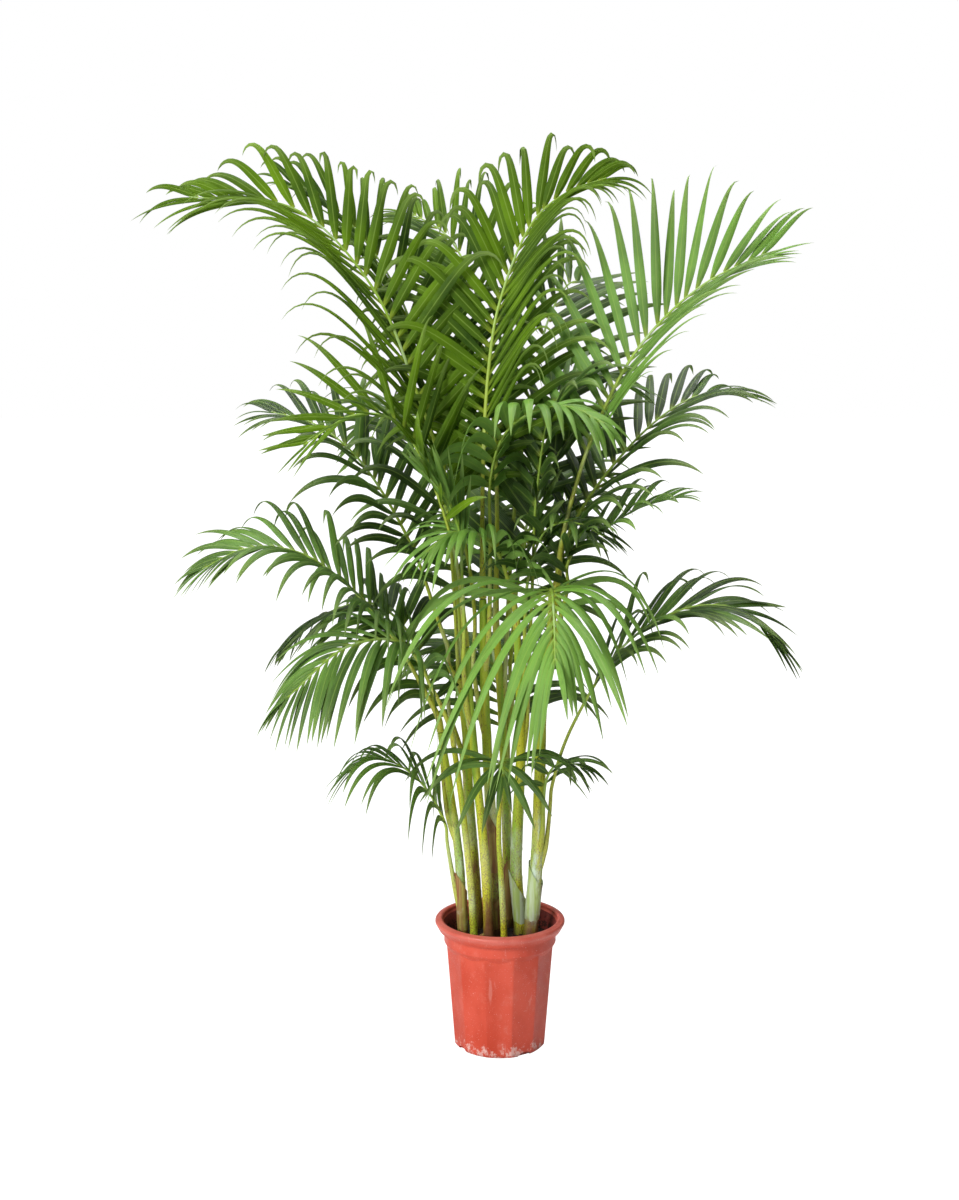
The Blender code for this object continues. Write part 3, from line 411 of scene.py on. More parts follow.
def floor_material():
    """Pale paper, seen a little brighter than it is lit, so that it runs into the white behind it."""
    p = Paint("studio_floor")
    colour = p.mix(p.fade(p.noise(0.8, 2.0), 0.3, 0.7), (0.84, 0.84, 0.84, 1), (0.87, 0.87, 0.865, 1))
    seen = p.times(p.add("LightPath").outputs["Is Camera Ray"], PAPER_GLOW_SHARE)
    glow = p.add("Emission", {"Color": (1, 1, 1, 1), "Strength": PAPER_GLOW}).outputs[0]
    return p.finish(p.add("MixShader", {0: seen, 1: p.shader(colour, 0.7), 2: glow}).outputs[0])


# Meshes


def put(name, data):
    """A new object in the scene."""
    obj = bpy.data.objects.new(name, data)
    bpy.context.scene.collection.objects.link(obj)
    return obj


def put_made(name, bm, material=None):
    """A new object from a bmesh, which is used up."""
    mesh = bpy.data.meshes.new(name)
    bm.to_mesh(mesh)
    bm.free()
    if material:
        mesh.materials.append(material)
    return put(name, mesh)


def add_piece(name, verts, faces, materials, replaced=(), sharp=35, face_materials=None,
              attributes=()):
    """A mesh that rides on the body, takes a material slot and stands for CAD nodes."""
    mesh = bpy.data.meshes.new(name)
    mesh.from_pydata([tuple(v) for v in verts], [], faces)
    for material in materials:
        mesh.materials.append(material)
    if face_materials is not None:
        mesh.polygons.foreach_set("material_index", face_materials)
    for key, values in dict(attributes).items():
        layer = mesh.attributes.new(key, "FLOAT", "POINT")
        layer.data.foreach_set("value", np.asarray(values, dtype=np.float32))
    mesh.shade_smooth()
    if sharp:
        mesh.set_sharp_from_angle(angle=radians(sharp))
    obj = put(name, mesh)
    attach(obj, BODY)
    for node in replaced:
        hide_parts(node)
    return obj


def ring_faces(rings, sides, first=0, caps=True):
    """Quads between rings of the same number of vertices, with flat ends."""
    faces = []
    for k in range(rings - 1):
        a = first + k * sides
        b = a + sides
        for i in range(sides):
            j = (i + 1) % sides
            faces.append((a + i, a + j, b + j, b + i))
    if caps:
        faces.append(tuple(range(first + sides - 1, first - 1, -1)))
        last = first + (rings - 1) * sides
        faces.append(tuple(range(last, last + sides)))
    return faces


# Routes, as in the design


def smooth_path(points, step=SAMPLE_STEP):
    """A smooth curve through the points, sampled evenly. Returns an array of positions."""
    p = np.array(points, dtype=float)
    p = np.vstack([2 * p[0] - p[1], p, 2 * p[-1] - p[-2]])
    knots = np.concatenate([[0.0], np.cumsum(np.sqrt(np.linalg.norm(np.diff(p, axis=0), axis=1)))])
    dense = []
    for i in range(1, len(p) - 2):
        for t in np.linspace(knots[i], knots[i + 1], 16, endpoint=False):
            dense.append(between(p[i - 1:i + 3], knots[i - 1:i + 3], t))
    dense.append(p[-2])
    return even(np.array(dense), step)


def between(p, k, t):
    """Barry and Goldman's form of a centripetal Catmull-Rom segment."""

    def part(i, j, a, b):
        return (k[j] - t) / (k[j] - k[i]) * a + (t - k[i]) / (k[j] - k[i]) * b

    a1, a2, a3 = (part(i, i + 1, p[i], p[i + 1]) for i in range(3))
    return part(1, 2, part(0, 2, a1, a2), part(1, 3, a2, a3))


def lengths_along(path):
    return np.concatenate([[0.0], np.cumsum(np.linalg.norm(np.diff(path, axis=0), axis=1))])


def even(path, step):
    along = lengths_along(path)
    count = max(2, int(round(along[-1] / step)))
    return at_lengths(path, np.linspace(0, along[-1], count + 1))


def at_lengths(path, wanted):
    along = lengths_along(path)
    return np.column_stack([np.interp(wanted, along, path[:, i]) for i in range(3)])


def cane_path(points):
    foot = (points[0][0], points[0][1], SOIL_TOP + GAP)
    return smooth_path([foot] + points)


def cane_stations(path):
    """The few positions that the design's cane is made from, with its foot standing straight."""
    total = lengths_along(path)[-1]
    return at_lengths(path, np.concatenate([[0.0, CANE_FOOT], np.linspace(0, total, CANE_STEPS + 1)[1:]]))


def frond_path(frond, canes):
    """The frond's petiole and rachis as positions, from beside or on top of its cane."""
    axis, radii = canes[frond.cane]
    azimuth = radians(frond.azimuth)
    if frond.leaves_at is None:
        origin = axis[-1]
        chord = axis[-1] - cane_stations(axis)[-2]
        along = chord / np.linalg.norm(chord)
        start = origin + along * TOP_GAP
    else:
        i = int(np.argmin(abs(axis[:, 2] - frond.leaves_at)))
        origin = axis[i]
        out = np.array([cos(azimuth), sin(azimuth), 0.0])
        start = origin + out * (radii[i] + PETIOLE_RADIUS + 2 * GAP)
        along = UP
    points = [start, start + along * STRAIGHT_START]
    last = len(frond.spine) - 1
    for k, (out, up) in enumerate(frond.spine):
        turn = azimuth + radians(frond.swing) * k / last
        points.append((origin[0] + out * cos(turn), origin[1] + out * sin(turn), up))
    return smooth_path(points)


def petiole_radii(path):
    share = lengths_along(path) / lengths_along(path)[-1]
    return PETIOLE_RADIUS + (RACHIS_TIP_RADIUS - PETIOLE_RADIUS) * share


def away_from(place, path, radii):
    """The part of a tube that isn't right under a place, where a frond ends its cane."""
    far = np.linalg.norm(path - place, axis=1) > 2.5 * radii
    return path[far], radii[far]


def kept_clear(path, radii, others):
    """Eases a path away from the (positions, radii) of others, keeping its first point."""
    places = np.vstack([p for p, _ in others])
    sizes = np.concatenate([r for _, r in others])
    for _ in range(CLEARING_ROUNDS):
        apart = path[:, None, :] - places[None, :, :]
        distance = np.linalg.norm(apart, axis=2)
        short = radii[:, None] + sizes[None, :] + PATH_CLEARANCE - distance
        worst = np.argmax(short, axis=1)
        rows = np.arange(len(path))
        lack = np.clip(short[rows, worst], 0, None)
        if lack[2:].max() <= 0:
            break
        push = apart[rows, worst] / distance[rows, worst][:, None]
        push[:, 2] = 0
        move = push * lack[:, None] * 1.2
        spread = np.zeros_like(move)
        for shift in range(-6, 7):
            weight = 1 - abs(shift) / 7
            spread += np.roll(move, shift, axis=0) * weight * 0.35
        ease = np.clip(np.arange(len(path)) / 4, 0, 1)
        path = path + np.maximum(abs(spread), abs(move)) * np.sign(spread) * ease[:, None]
    return path


def plant_routes():
    """All canes and fronds as name: (positions, radii)."""
    canes = {}
    for name, low, high, points in CANES:
        path = cane_path(points)
        canes[name] = (path, low + (high - low) * lengths_along(path) / lengths_along(path)[-1])
    spines = {}
    for row in FRONDS:
        path = frond_path(row, canes)
        radii = petiole_radii(path) * sqrt(2)
        others = [away_from(path[0], *made) for made in list(canes.values()) + list(spines.values())]
        spines[row.name] = (kept_clear(path, radii, others), radii)
    return canes, {name: path for name, (path, _) in spines.items()}


# Pot

POT_COLUMNS = 288
FACETS = 12
FACET_TURN = radians(-1.5)
COLLAR_RADIUS = 0.1035
COLLAR_LOW = POT_HEIGHT - 0.048
FACET_TOP_RADIUS = 0.1010
FOOT_RADIUS = 0.0862
FOOT_ROUND = 0.007
WALL = 0.003
NOTCHES = 4
NOTCH_TURN = radians(33)
NOTCH_WIDTH = 0.028
NOTCH_HEIGHT = 0.009


def side_radius(z):
    """The faceted side's radius at its corners."""
    rise = FACET_TOP_RADIUS - FOOT_RADIUS
    return FOOT_RADIUS + rise * (z - FOOT_ROUND) / (COLLAR_LOW - 0.001 - FOOT_ROUND)


def off_facet(angle):
    """How far an angle is from the middle of its facet."""
    half = pi / FACETS
    return (angle - FACET_TURN + half) % (2 * half) - half


def pot_outside_radius(z, angle):
    """Flat facets under a round collar: where a facet is deeper, the collar's sloping foot dips lower."""
    half = pi / FACETS
    off = off_facet(angle)
    flat = side_radius(z) * cos(half) / cos(off)
    edge = exp(-((half - abs(off)) / 0.018) ** 2) * 0.0002
    collar = COLLAR_RADIUS - max(0.0, (COLLAR_LOW + 0.004 - z)) * 0.55
    return max(flat - edge, min(collar, side_radius(z)) if z < COLLAR_LOW else collar)


def arc(centre_r, centre_z, radius, start, end, steps):
    """Points of a rounded corner in the pot's profile. Angles in degrees from outwards."""
    angles = np.radians(np.linspace(start, end, steps))
    return [(centre_r + radius * cos(a), centre_z + radius * sin(a)) for a in angles]


def make_pot(outside, inside):
    """The pot's wall: up the inside, over the rolled rim and down the faceted side."""
    top, rim = POT_HEIGHT, RIM_RADIUS
    inner = [(0.0001, 0.004), (0.04, 0.004), (0.074, 0.004), (0.0785, 0.008)]
    for z in np.linspace(0.02, COLLAR_LOW, 10):
        inner.append((side_radius(z) * cos(pi / FACETS) - WALL, z))
    inner += [(0.0975, COLLAR_LOW + 0.008), (0.1003, top - 0.022), (0.1022, top - 0.016),
              (0.1046, top - 0.011), (0.1063, top - 0.0065)]
    roll = arc(rim - 0.0098, top - 0.0042, 0.0042, 168, 60, 13)
    roll += arc(rim - 0.0050, top - 0.0066, 0.0050, 62, -40, 9)
    roll += [(rim - 0.0026, top - 0.0125), (rim - 0.0048, top - 0.0165), (rim - 0.0066, top - 0.0190)]
    roll += arc(rim - 0.0085, top - 0.0196, 0.0017, -10, -95, 9)
    roll += [(rim - 0.0115, top - 0.0206), (rim - 0.0142, top - 0.0212), (rim - 0.0158, top - 0.0228)]
    side = list(np.linspace(top - 0.026, COLLAR_LOW + 0.006, 5))
    side += list(np.linspace(COLLAR_LOW + 0.004, COLLAR_LOW - 0.012, 14))
    side += list(np.linspace(COLLAR_LOW - 0.016, 0.022, 10)) + [0.014, 0.010, FOOT_ROUND]
    foot = arc(FOOT_RADIUS * 0.983 - FOOT_ROUND, FOOT_ROUND, FOOT_ROUND, -12, -90, 9)
    base = [(0.070, 0.0), (0.066, 0.0012), (0.03, 0.0012), (0.0001, 0.0012)]

    profile = [("in", r, z) for r, z in inner] + [("rim", r, z) for r, z in roll]
    profile += [("side", 0.0, z) for z in side] + [("foot", r, z) for r, z in foot]
    profile += [("base", r, z) for r, z in base]
    verts, marks = [], []
    for kind, r, z in profile:
        for i in range(POT_COLUMNS):
            angle = tau * i / POT_COLUMNS
            radius = pot_outside_radius(z, angle) if kind == "side" else r
            if kind == "foot":
                flat = cos(pi / FACETS) / cos(off_facet(angle))
                radius = r * (1.0 + (flat - 0.983) * (z / FOOT_ROUND))
            verts.append((radius * sin(angle), -radius * cos(angle), z))
        marks.append(0 if kind == "in" else 1)
    faces = ring_faces(len(profile), POT_COLUMNS)
    indices = []
    for k in range(len(profile) - 1):
        inner_face = marks[k] == 0 and profile[k][2] < top - 0.012
        indices += [1 if inner_face else 0] * POT_COLUMNS
    indices += [1, 0]
    pot = add_piece("nursery_pot", verts, faces, [outside, inside], ["pot"], 0, indices)
    cut_notches(pot)
    pot.data.set_sharp_from_angle(angle=radians(13))
    return pot


def cut_notches(pot):
    """Arched drain notches through the pot's bottom edge."""
    bm = bmesh.new()
    for k in range(NOTCHES):
        turn = NOTCH_TURN + k * tau / NOTCHES
        made = bmesh.ops.create_cone(bm, cap_ends=True, segments=32, radius1=1, radius2=1, depth=1)["verts"]
        size = Matrix.Diagonal((NOTCH_WIDTH / 2, NOTCH_HEIGHT, 0.020, 1))
        lie = Matrix.Rotation(pi / 2, 4, "X")
        move = Matrix.Rotation(turn, 4, "Z") @ Matrix.Translation((0, -FOOT_RADIUS + 0.001, 0))
        bmesh.ops.transform(bm, matrix=move @ lie @ size, verts=made)
    cutter = put_made("notch_cutter", bm)
    boolean = pot.modifiers.new("notches", "BOOLEAN")
    boolean.operation = "DIFFERENCE"
    boolean.object = cutter
    depsgraph = bpy.context.evaluated_depsgraph_get()
    cut = bpy.data.meshes.new_from_object(pot.evaluated_get(depsgraph))
    pot.modifiers.clear()
    pot.data = cut
    bpy.data.objects.remove(cutter, do_unlink=True)


# Compost

COMPOST_RADIUS = 0.0975
CRUMBS = 420
CRUMB_REACH = 0.093


def make_compost(material, crumb_material):
    """The compost's lumpy top, closed underneath, and loose crumbs on it."""
    rings, sides = 40, 120
    verts = []
    for k in range(1, rings + 1):
        r = COMPOST_RADIUS * k / rings
        for i in range(sides):
            a = tau * i / sides
            x, y = r * cos(a), r * sin(a)
            rough = noise.noise(Vector((x * 38, y * 38, 1.0))) * 0.0032
            rough += noise.noise(Vector((x * 120, y * 120, 5.0))) * 0.0022
            rough += noise.noise(Vector((x * 320, y * 320, 9.0))) * 0.0010
            heap = 0.0035 * exp(-(r / 0.05) ** 2)
            fall = -0.004 * max(0.0, k / rings - 0.8) / 0.2
            verts.append((x, y, SOIL_TOP - 0.0005 + heap + rough + fall))
    faces = []
    for k in range(rings - 1):
        for i in range(sides):
            j = (i + 1) % sides
            faces.append((k * sides + i, (k + 1) * sides + i, (k + 1) * sides + j, k * sides + j))
    faces.append(tuple(range(sides)))
    bottom = len(verts)
    narrow = side_radius(soil_low[2]) - WALL - 0.010
    for i in range(sides):
        a = tau * i / sides
        verts.append((narrow * cos(a), narrow * sin(a), soil_low[2]))
    outer = (rings - 1) * sides
    for i in range(sides):
        j = (i + 1) % sides
        faces.append((outer + i, bottom + i, bottom + j, outer + j))
    faces.append(tuple(range(bottom + sides - 1, bottom - 1, -1)))
    add_piece("compost_top", verts, faces, [material], ["soil"], 0)

    rng = np.random.default_rng(7)
    bm = bmesh.new()
    for _ in range(CRUMBS):
        r = CRUMB_REACH * sqrt(rng.random())
        a = rng.random() * tau
        size = 0.0009 + 0.0028 * rng.random() ** 2.5
        z = SOIL_TOP + 0.0030 * exp(-(r / 0.05) ** 2) + size * 0.3
        z -= 0.002 * max(0.0, r / CRUMB_REACH - 0.8) / 0.2
        made = bmesh.ops.create_icosphere(bm, subdivisions=1, radius=size)["verts"]
        for v in made:
            v.co *= 0.75 + 0.5 * rng.random()
        squash = Matrix.Diagonal((1.0, 0.6 + 0.8 * rng.random(), 0.5 + 0.4 * rng.random(), 1))
        turn = Matrix.Rotation(rng.random() * pi, 4, "Z")
        place = Matrix.Translation((r * cos(a), r * sin(a), z))
        bmesh.ops.transform(bm, matrix=place @ turn @ squash, verts=made)
    crumbs = put_made("compost_crumbs", bm, crumb_material)
    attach(crumbs, BODY)


# Canes

CANE_SIDES = 20
SHEATH_GAP = 0.0011
LEAF_RINGS = np.array([0.030, 0.062, 0.105, 0.160, 0.230])  # heights over the compost
# for each cane, the top of its brown foot, where its white bloom starts and ends, and how thick it is
CANE_LOOKS = {
    "cane_left": (0.30, 0.28, 0.46, 0.75),
    "cane_left_front": (0.22, 0.25, 0.45, 0.3),
    "cane_centre_left": (0.33, 0.30, 0.42, 0.3),
    "cane_centre": (0.40, 0.34, 0.52, 0.5),
    "cane_thin": (0.21, 0.24, 0.35, 0.3),
    "cane_right_centre": (0.22, 0.30, 0.42, 0.6),
    "cane_right": (0.31, 0.22, 0.47, 0.9),
    "cane_back_left": (0.36, 0.35, 0.45, 0.4),
    "cane_back_right": (0.34, 0.35, 0.45, 0.4),
}


def place_at(path, z):
    """Where a steep path is at a height."""
    return np.array([np.interp(z, path[:, 2], path[:, j]) for j in range(3)])


def frames_along(path):
    """For each position of a steep path, its direction and two directions across it."""
    ahead = np.gradient(path, axis=0)
    ahead /= np.linalg.norm(ahead, axis=1)[:, None]
    side = np.array([1.0, 0.0, 0.0]) - ahead * ahead[:, :1]
    side /= np.linalg.norm(side, axis=1)[:, None]
    return ahead, side, np.cross(ahead, side)


def tube(path, radii, sides, wobble=None):
    """Rings of vertices round a steep path."""
    _, across, back = frames_along(path)
    angles = np.linspace(0, tau, sides, endpoint=False)
    verts = []
    for k in range(len(path)):
        for a in angles:
            r = radii[k] * (1 + (wobble(k, a) if wobble else 0.0))
            verts.append(path[k] + (across[k] * cos(a) + back[k] * sin(a)) * r)
    return verts


def make_cane(name, path, radii, material):
    """A cane with a swollen foot and the rings where old leaves fell."""
    fine = even(path, 0.003)
    fine = np.vstack([fine[0] - [0, 0, 0.006], fine])
    sizes = np.interp(fine[:, 2], path[:, 2], radii)
    heights = fine[:, 2] - SOIL_TOP
    sizes = sizes * (1 + 0.16 * np.exp(-(heights / 0.018) ** 2))
    for at in LEAF_RINGS + 0.004 * (len(name) % 4):
        sizes = sizes * (1 + 0.055 * np.exp(-((heights - at) / 0.0022) ** 2))
        sizes = sizes * (1 - 0.020 * np.exp(-((heights - at - 0.006) / 0.003) ** 2))
    seed = float(len(name)) * 3.7

    def wobble(k, a):
        return 0.06 * noise.noise(Vector((cos(a) * 1.3 + seed, sin(a) * 1.3, fine[k][2] * 28)))

    verts = tube(fine, sizes, CANE_SIDES, wobble)
    faces = ring_faces(len(fine), CANE_SIDES)
    share = np.repeat(lengths_along(fine) / lengths_along(fine)[-1], CANE_SIDES)
    add_piece(name + "_stem", verts, faces, [material], [name], 50, None, {"along": share})


def make_sheath(name, path, radii, low, high, azimuth, slant, flare, material):
    """A leaf sheath round a cane from one height to another, its mouth cut on a slant."""
    rows, columns = 16, 28
    turn = radians(azimuth)
    verts = []
    levels = list(np.linspace(0, 1, rows)) + [0.97, 0.88]
    for k, level in enumerate(levels):
        for i in range(columns):
            a = tau * i / columns
            near = 0.5 + 0.5 * cos(a - turn)
            ragged = 0.10 * noise.noise(Vector((cos(a) * 2.5, sin(a) * 2.5, high * 40)))
            top = high - slant * (1 - near) * (1 + ragged) + ragged * slant * 0.3
            z = low + (top - low) * level
            centre = place_at(path, z)
            r = np.interp(z, path[:, 2], radii)
            open_up = SHEATH_GAP * min(1.0, level * 6) + flare * level ** 5
            if k >= rows:
                open_up -= 0.0009
            if k == len(levels) - 1:
                open_up = -0.0008
            r = (r * 1.01 + open_up) if level > 0 else r * 0.985
            verts.append((centre[0] + r * cos(a), centre[1] + r * sin(a), z))
    faces = ring_faces(len(levels), columns, caps=False)
    last = (len(levels) - 1) * columns
    faces += [(last + i, last + (i + 1) % columns, (i + 1) % columns, i) for i in range(columns)]
    add_piece(name, verts, faces, [material], (), 40)


def make_stub(material):
    """A petiole cut off short, hollow at its end, with a dried collar."""
    low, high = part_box("cut_stub")
    centre = ((low[0] + high[0]) / 2, (low[1] + high[1]) / 2)
    radius = (high[0] - low[0]) / 2
    heights = [low[2] - 0.004, low[2] + 0.008, high[2] - 0.007, high[2] - 0.0055, high[2] - 0.003, high[2],
               high[2] - 0.0002, high[2] - 0.004]
    scales = [1.05, 1.0, 0.93, 1.06, 1.06, 0.97, 0.70, 0.55]
    verts = []
    for z, s in zip(heights, scales):
        for i in range(18):
            a = tau * i / 18
            tilt = 0.0016 * cos(a) if z > high[2] - 0.0045 else 0.0
            x, y = centre[0] + radius * s * cos(a), centre[1] + radius * s * sin(a)
            verts.append((x, y, z - 0.0016 + tilt))
    add_piece("cut_stub_end", verts, ring_faces(len(heights), 18), [material], ["cut_stub"], 40)


# Fronds

BLADE_RINGS = 21
# round a leaflet, from one margin under the blade to the other and back over it: share of the half
# width, and which face it is on
BLADE_ACROSS = np.array([-1.0, -0.5, 0.0, 0.5, 1.0, 0.5, 0.0, -0.5])
BLADE_FACE = np.array([0.0, -1.0, -1.0, -1.0, 0.0, 1.0, 1.0, 1.0])
BLADE_THICKNESS = 0.0006
WIDEST = 0.26  # share of a leaflet's length
FOLD = 24  # degrees that each half of a leaflet hangs down beside its midrib
STALK_SIDES = 12


def unit(vectors):
    return vectors / np.linalg.norm(vectors, axis=-1, keepdims=True)


def turned_about(vectors, axes, angles):
    """Rodrigues' rotation of each vector about its axis."""
    c, s = np.cos(angles)[..., None], np.sin(angles)[..., None]
    dots = np.sum(axes * vectors, axis=-1, keepdims=True)
    return vectors * c + np.cross(axes, vectors) * s + axes * dots * (1 - c)


def blade_frames(frond, path):
    """For each position, the rachis's direction, its upper side and its left side."""
    azimuth = radians(frond.azimuth + frond.swing / 2)
    across = np.cross(UP, [cos(azimuth), sin(azimuth), 0.0])
    ahead = unit(np.gradient(path, axis=0))
    upper = unit(np.cross(ahead, across))
    left = np.cross(upper, ahead)
    share = np.linspace(0, 1, len(path))
    roll = radians(frond.roll) * np.minimum(1.0, 2 * share)
    return ahead, turned_about(upper, ahead, roll), turned_about(left, ahead, roll)


def blade_width(t):
    """A leaflet's width along its length, as a share of its widest."""
    rise = 0.34 + 0.66 * np.sin(np.clip(t / WIDEST, 0, 1) * pi / 2)
    fall = np.clip((t - WIDEST) / (1 - WIDEST), 0, 1)
    return np.maximum(rise * (1 - fall ** 1.9) ** 0.95, 0.012)


def leaflet(foot, start, ahead, side, length, width, sag, late, twist):
    """One leaflet's vertices, and how far along and across it each of them is."""
    t = np.linspace(0, 1, BLADE_RINGS)[:, None]
    bend = sag * t ** late
    share = bend / (1 + bend)
    heading = unit(start * (1 - share) - UP * share)
    step = length / (BLADE_RINGS - 1)
    places = foot + np.vstack([np.zeros(3), np.cumsum((heading[1:] + heading[:-1]) / 2 * step, axis=0)])
    flat = unit(ahead - start * np.dot(ahead, start))
    hinge = unit(np.cross(start, -UP) + 1e-9)
    turn = np.arccos(np.clip(heading @ start, -1, 1))
    across = turned_about(np.tile(flat, (BLADE_RINGS, 1)), np.tile(hinge, (BLADE_RINGS, 1)), turn)
    across = turned_about(across, heading, twist * t[:, 0]) * -side
    normal = np.cross(heading, across)
    half = width * blade_width(t) / 2
    droop = np.radians(FOLD * (1 - 0.55 * np.clip(t / 0.5, 0, 1)))
    out = BLADE_ACROSS[None, :] * half * np.cos(droop)
    ridge = np.abs(BLADE_ACROSS)[None, :]
    lift = -ridge * half * np.sin(droop) + 0.10 * half * (ridge == 0.5)
    thin = np.clip(half / 0.003, 0.2, 1)
    lift = lift + BLADE_FACE[None, :] * BLADE_THICKNESS / 2 * (1 - 0.5 * ridge) * thin
    verts = places[:, None, :] + across[:, None, :] * out[..., None] + normal[:, None, :] * lift[..., None]
    along = np.repeat(t, len(BLADE_ACROSS), axis=1)
    return verts.reshape(-1, 3), along.ravel(), np.tile(BLADE_ACROSS, BLADE_RINGS)


def leaflet_length(frond, along):
    """Leaflets are longest a third of the way along the leafy part."""
    swell = sin(pi * min(1.0, 0.25 + 0.75 * along) ** 0.8)
    return frond.reach * (0.38 + 0.62 * swell)


def leaflets_of(frond, path, radii, rng):
    """All of a frond's leaflets as vertices, faces, face materials and attributes."""
    ahead, upper, left = blade_frames(frond, path)
    first, last = frond.spread
    verts, faces, indices = [], [], []
    marks = {"along": [], "across": [], "tone": []}
    pairs = frond.pairs
    count = 0
    for pair in range(pairs):
        along = pair / (pairs - 1)
        for side in (1, -1):
            stagger = 0.35 * rng.random() / pairs
            share = frond.bare + (0.985 - frond.bare) * min(1.0, along + stagger * (along < 0.98))
            k = int(round(share * (len(path) - 1)))
            wander = rng.normal(size=5)
            spread = first + (last - first) * along ** 1.3
            angle = radians(spread * (1 + side * frond.lean) + wander[0] * 2.5)
            lift = radians(frond.vee + wander[1] * 6.0)
            outward = left[k] * (side * cos(lift)) + upper[k] * sin(lift)
            start = unit(ahead[k] * cos(angle) + outward * sin(angle))
            foot = path[k] + left[k] * side * radii[k] * 0.55 + upper[k] * radii[k] * 0.25
            length = leaflet_length(frond, along) * (1 + side * frond.uneven + 0.06 * wander[2])
            steep = max(0.0, start[2]) ** 2
            width = frond.width * (0.62 + 0.38 * sin(pi * min(1, 0.2 + 0.8 * along)) ** 0.6)
            width *= 1 - max(0.0, side * frond.slim)
            sag = max(0.02, frond.sag * (1 + 2.5 * steep + 0.22 * wander[3]))
            late = frond.late + 5.0 * steep
            shape = (side, length, width, sag, late, 0.35 * wander[4])
            blade, run, across = leaflet(foot, start, ahead[k], *shape)
            verts.append(blade)
            faces += ring_faces(BLADE_RINGS, len(BLADE_ACROSS), count)
            indices += ([1, 1, 1, 1, 0, 0, 0, 0] * (BLADE_RINGS - 1)) + [0, 0]
            marks["along"].append(run)
            marks["across"].append(across)
            marks["tone"].append(np.full(len(run), frond.tone + 0.10 * wander[0]))
            count += len(blade)
    return np.vstack(verts), faces, indices, {key: np.concatenate(v) for key, v in marks.items()}


def stalk_of(frond, path, canes, first_radius):
    """The petiole and rachis, from inside the cane's sheath to the tip, channelled on top."""
    axis = canes[frond.cane][0]
    if frond.leaves_at is not None:
        deep = []
        for down in (0.075, 0.055, 0.035, 0.016):
            z = path[0][2] - down
            centre = place_at(axis, z)
            out = path[0] - centre
            out[2] = 0
            reach = np.linalg.norm(path[0][:2] - centre[:2])
            deep.append(centre + out / np.linalg.norm(out) * reach * (1 - (down / 0.080) ** 1.2))
        path = smooth_path(np.vstack([deep, path[12:-4:6], path[-1:]]))
    along = lengths_along(path) / lengths_along(path)[-1]
    _, upper, left = blade_frames(frond, path)
    sizes = PETIOLE_RADIUS * 1.08 + (RACHIS_TIP_RADIUS * 0.75 - PETIOLE_RADIUS * 1.08) * along ** 1.15
    swell = np.exp(-(lengths_along(path) / 0.075) ** 1.4)
    sizes = sizes + (first_radius - PETIOLE_RADIUS) * swell
    angles = np.linspace(0, tau, STALK_SIDES, endpoint=False)
    verts = []
    for k in range(len(path)):
        for a in angles:
            channel = 1 - 0.34 * max(0.0, sin(a)) ** 4 * (1 - swell[k])
            point = left[k] * -cos(a) * 1.08 + upper[k] * sin(a) * channel
            verts.append(path[k] + point * sizes[k])
    return verts, ring_faces(len(path), STALK_SIDES), np.repeat(along, STALK_SIDES)


def make_frond(frond, path, canes, leaf_skins, stalk_skin, seed):
    """A frond's two pieces, its leaflets and its stalk."""
    rng = np.random.default_rng(seed)
    radii = petiole_radii(path)
    verts, faces, indices, marks = leaflets_of(frond, path, radii, rng)
    name = frond.name
    add_piece(name + "_leaflets", verts, faces, leaf_skins, [name], 35, indices, marks)
    cane_radii = canes[frond.cane][1]
    first = cane_radii[-1] if frond.leaves_at is None else PETIOLE_RADIUS + 0.0022
    verts, faces, along = stalk_of(frond, path, canes, first)
    add_piece(name + "_stalk", verts, faces, [stalk_skin], [name], 50, None, {"along": along})


# Studio

CAMERA_PLACE = (-0.038, -3.4, 1.45)
CAMERA_DOWN = 10.16  # degrees
LENS = 57.6
FLOOR_HALF = 14.0
# what the room gives as light from the left and from the right
ROOM_LIGHT = {"From Min": -0.3, "From Max": 0.6, "To Min": 0.38, "To Max": 0.08}
PAPER_GLOW = 1.3
PAPER_GLOW_SHARE = 0.88


def make_camera():
    """In front of the palm at eye height, looking a little down."""
    data = bpy.data.cameras.new("camera")
    camera = put("camera", data)
    camera.location = CAMERA_PLACE
    camera.rotation_euler = (radians(90 - CAMERA_DOWN), 0, 0)
    data.lens = LENS
    data.sensor_width = 36
    bpy.context.scene.camera = camera


def add_softbox(name, place, target, size, power):
    data = bpy.data.lights.new(name, "AREA")
    data.shape = "RECTANGLE"
    data.size, data.size_y = size
    data.energy = power
    light = put(name, data)
    light.location = place
    light.rotation_euler = (Vector(target) - Vector(place)).to_track_quat("-Z", "Y").to_euler()


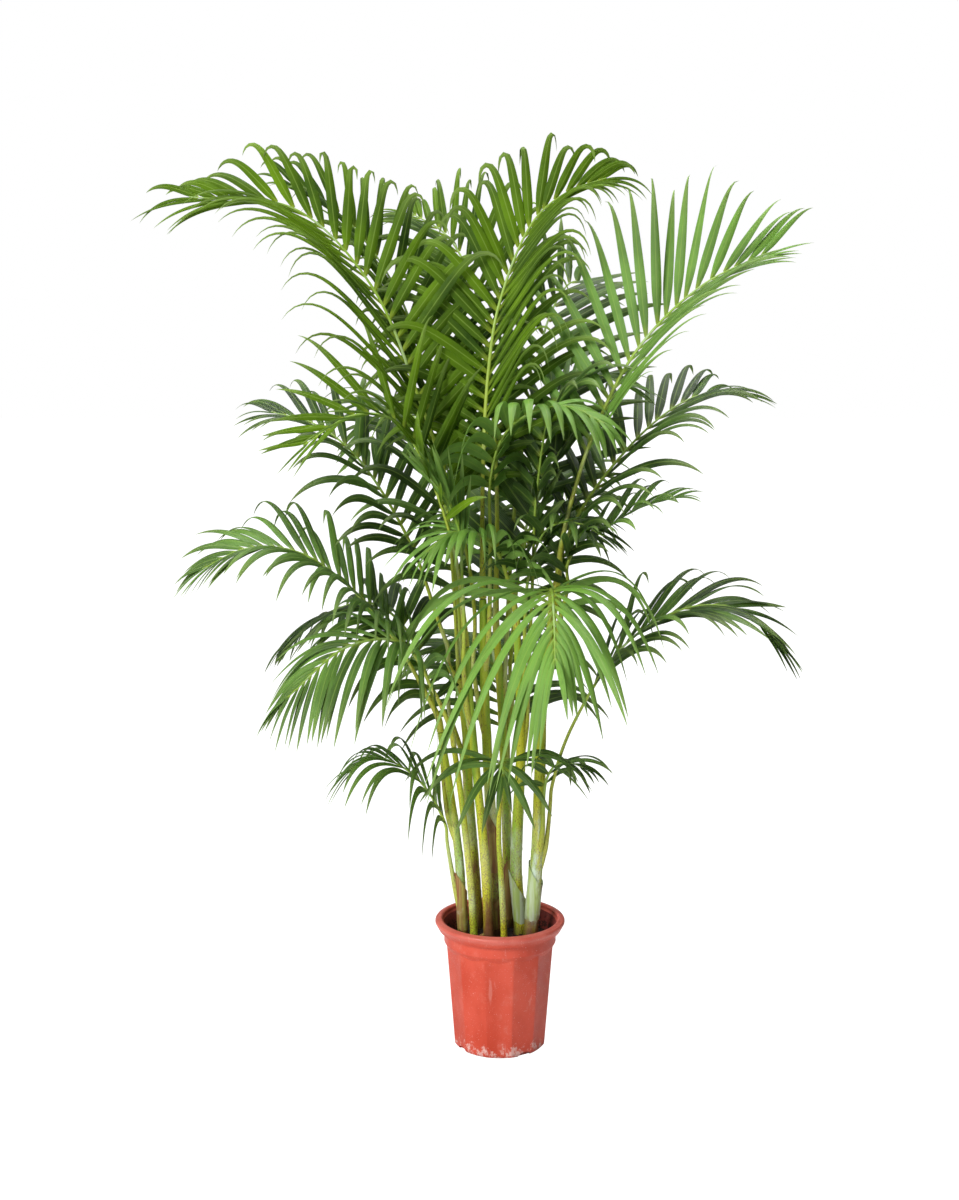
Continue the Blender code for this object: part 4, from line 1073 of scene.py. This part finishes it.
def make_studio():
    """A paper floor that runs into a white room, lit from the upper left."""
    bm = bmesh.new()
    bmesh.ops.create_grid(bm, x_segments=8, y_segments=8, size=FLOOR_HALF)
    floor = put_made("floor", bm, floor_material())

    p = Paint("studio", "worlds", "OutputWorld")
    east = p.add("SeparateXYZ", {0: p.add("TexCoord").outputs["Generated"]}).outputs["X"]
    light = p.add("MapRange", {"Value": east, **ROOM_LIGHT}).outputs[0]
    # plain white where the camera sees it
    seen = p.add("LightPath").outputs["Is Camera Ray"]
    strength = p.add("MapRange", {"Value": seen, "To Min": light, "To Max": 1.0}).outputs[0]
    white = {"Color": (1, 1, 1, 1), "Strength": strength}
    bpy.context.scene.world = p.finish(p.add("Background", white).outputs[0])
    add_softbox("key", (-2.3, -2.9, 2.6), (0, 0, 0.9), (1.6, 1.6), 155)
    add_softbox("top", (0.2, 0.6, 3.8), (0, 0, 1.0), (2.4, 2.4), 120)
    add_softbox("fill", (2.8, -2.2, 1.6), (0, 0, 0.8), (1.8, 2.4), 2)
    view = bpy.context.scene.view_settings
    view.view_transform = "Standard"
    view.look = "None"


def main():
    make_camera()
    make_studio()
    make_pot(pot_material(), pot_inside_material())
    make_compost(compost_material("compost", "1a0f09", "2e1d12"),
                 compost_material("compost_crumb", "24160d", "4a3220"))

    canes, spines = plant_routes()
    for name, (path, radii) in canes.items():
        make_cane(name, path, radii, cane_material(name + "_skin", *CANE_LOOKS[name]))

    papery = sheath_material("old_sheath", "a9a24e", "8a5a36")
    waxy = sheath_material("waxy_sheath", "a8bf6a", "c5d3b4")
    make_stub(papery)
    for name, cane, low, high, azimuth, slant, flare, skin in (
        ("sheath_right_low", "cane_right", 0.24, 0.355, 160, 0.045, 0.0016, waxy),
        ("sheath_left_low", "cane_left", 0.22, 0.335, 200, 0.040, 0.0012, papery),
        ("sheath_centre_low", "cane_centre", 0.215, 0.30, 20, 0.035, 0.0016, papery),
        ("sheath_centre_high", "cane_centre", 0.33, 0.455, 190, 0.055, 0.0012, papery),
        ("sheath_right_centre_low", "cane_right_centre", 0.225, 0.33, 185, 0.060, 0.0020, waxy),
        ("sheath_back_low", "cane_back_right", 0.215, 0.34, 300, 0.045, 0.0012, papery),
    ):
        path, radii = canes[cane]
        make_sheath(name, path, radii, low, high, azimuth, slant, flare, skin)

    glow = "b0d408"
    # Each pair is a skin for the leaflets' upper and under faces. The second pair is a yellower, less glossy
    # copy of the first for the sunlit upper fronds: its yellower green is painted light.
    shady = [leaf_material("leaf_upper", "103004", "7cae44", 0.34, 0.5, glow),
             leaf_material("leaf_lower", "244c10", "84b050", 0.50, 0.30, glow)]
    sunny = [leaf_material("painted_sunlit_leaf_upper", "1a3c00", "7aa400", 0.45, 0.16, glow),
             leaf_material("painted_sunlit_leaf_lower", "2c5400", "8cb41c", 0.55, 0.12, glow)]
    stalk = stalk_material("stalk", "b3b838", "86a83a", "7a4a26", 0.35)
    for seed, row in enumerate(FRONDS, 11):
        make_frond(row, spines[row.name], canes, sunny if row.sunny else shady, stalk, seed)


main()
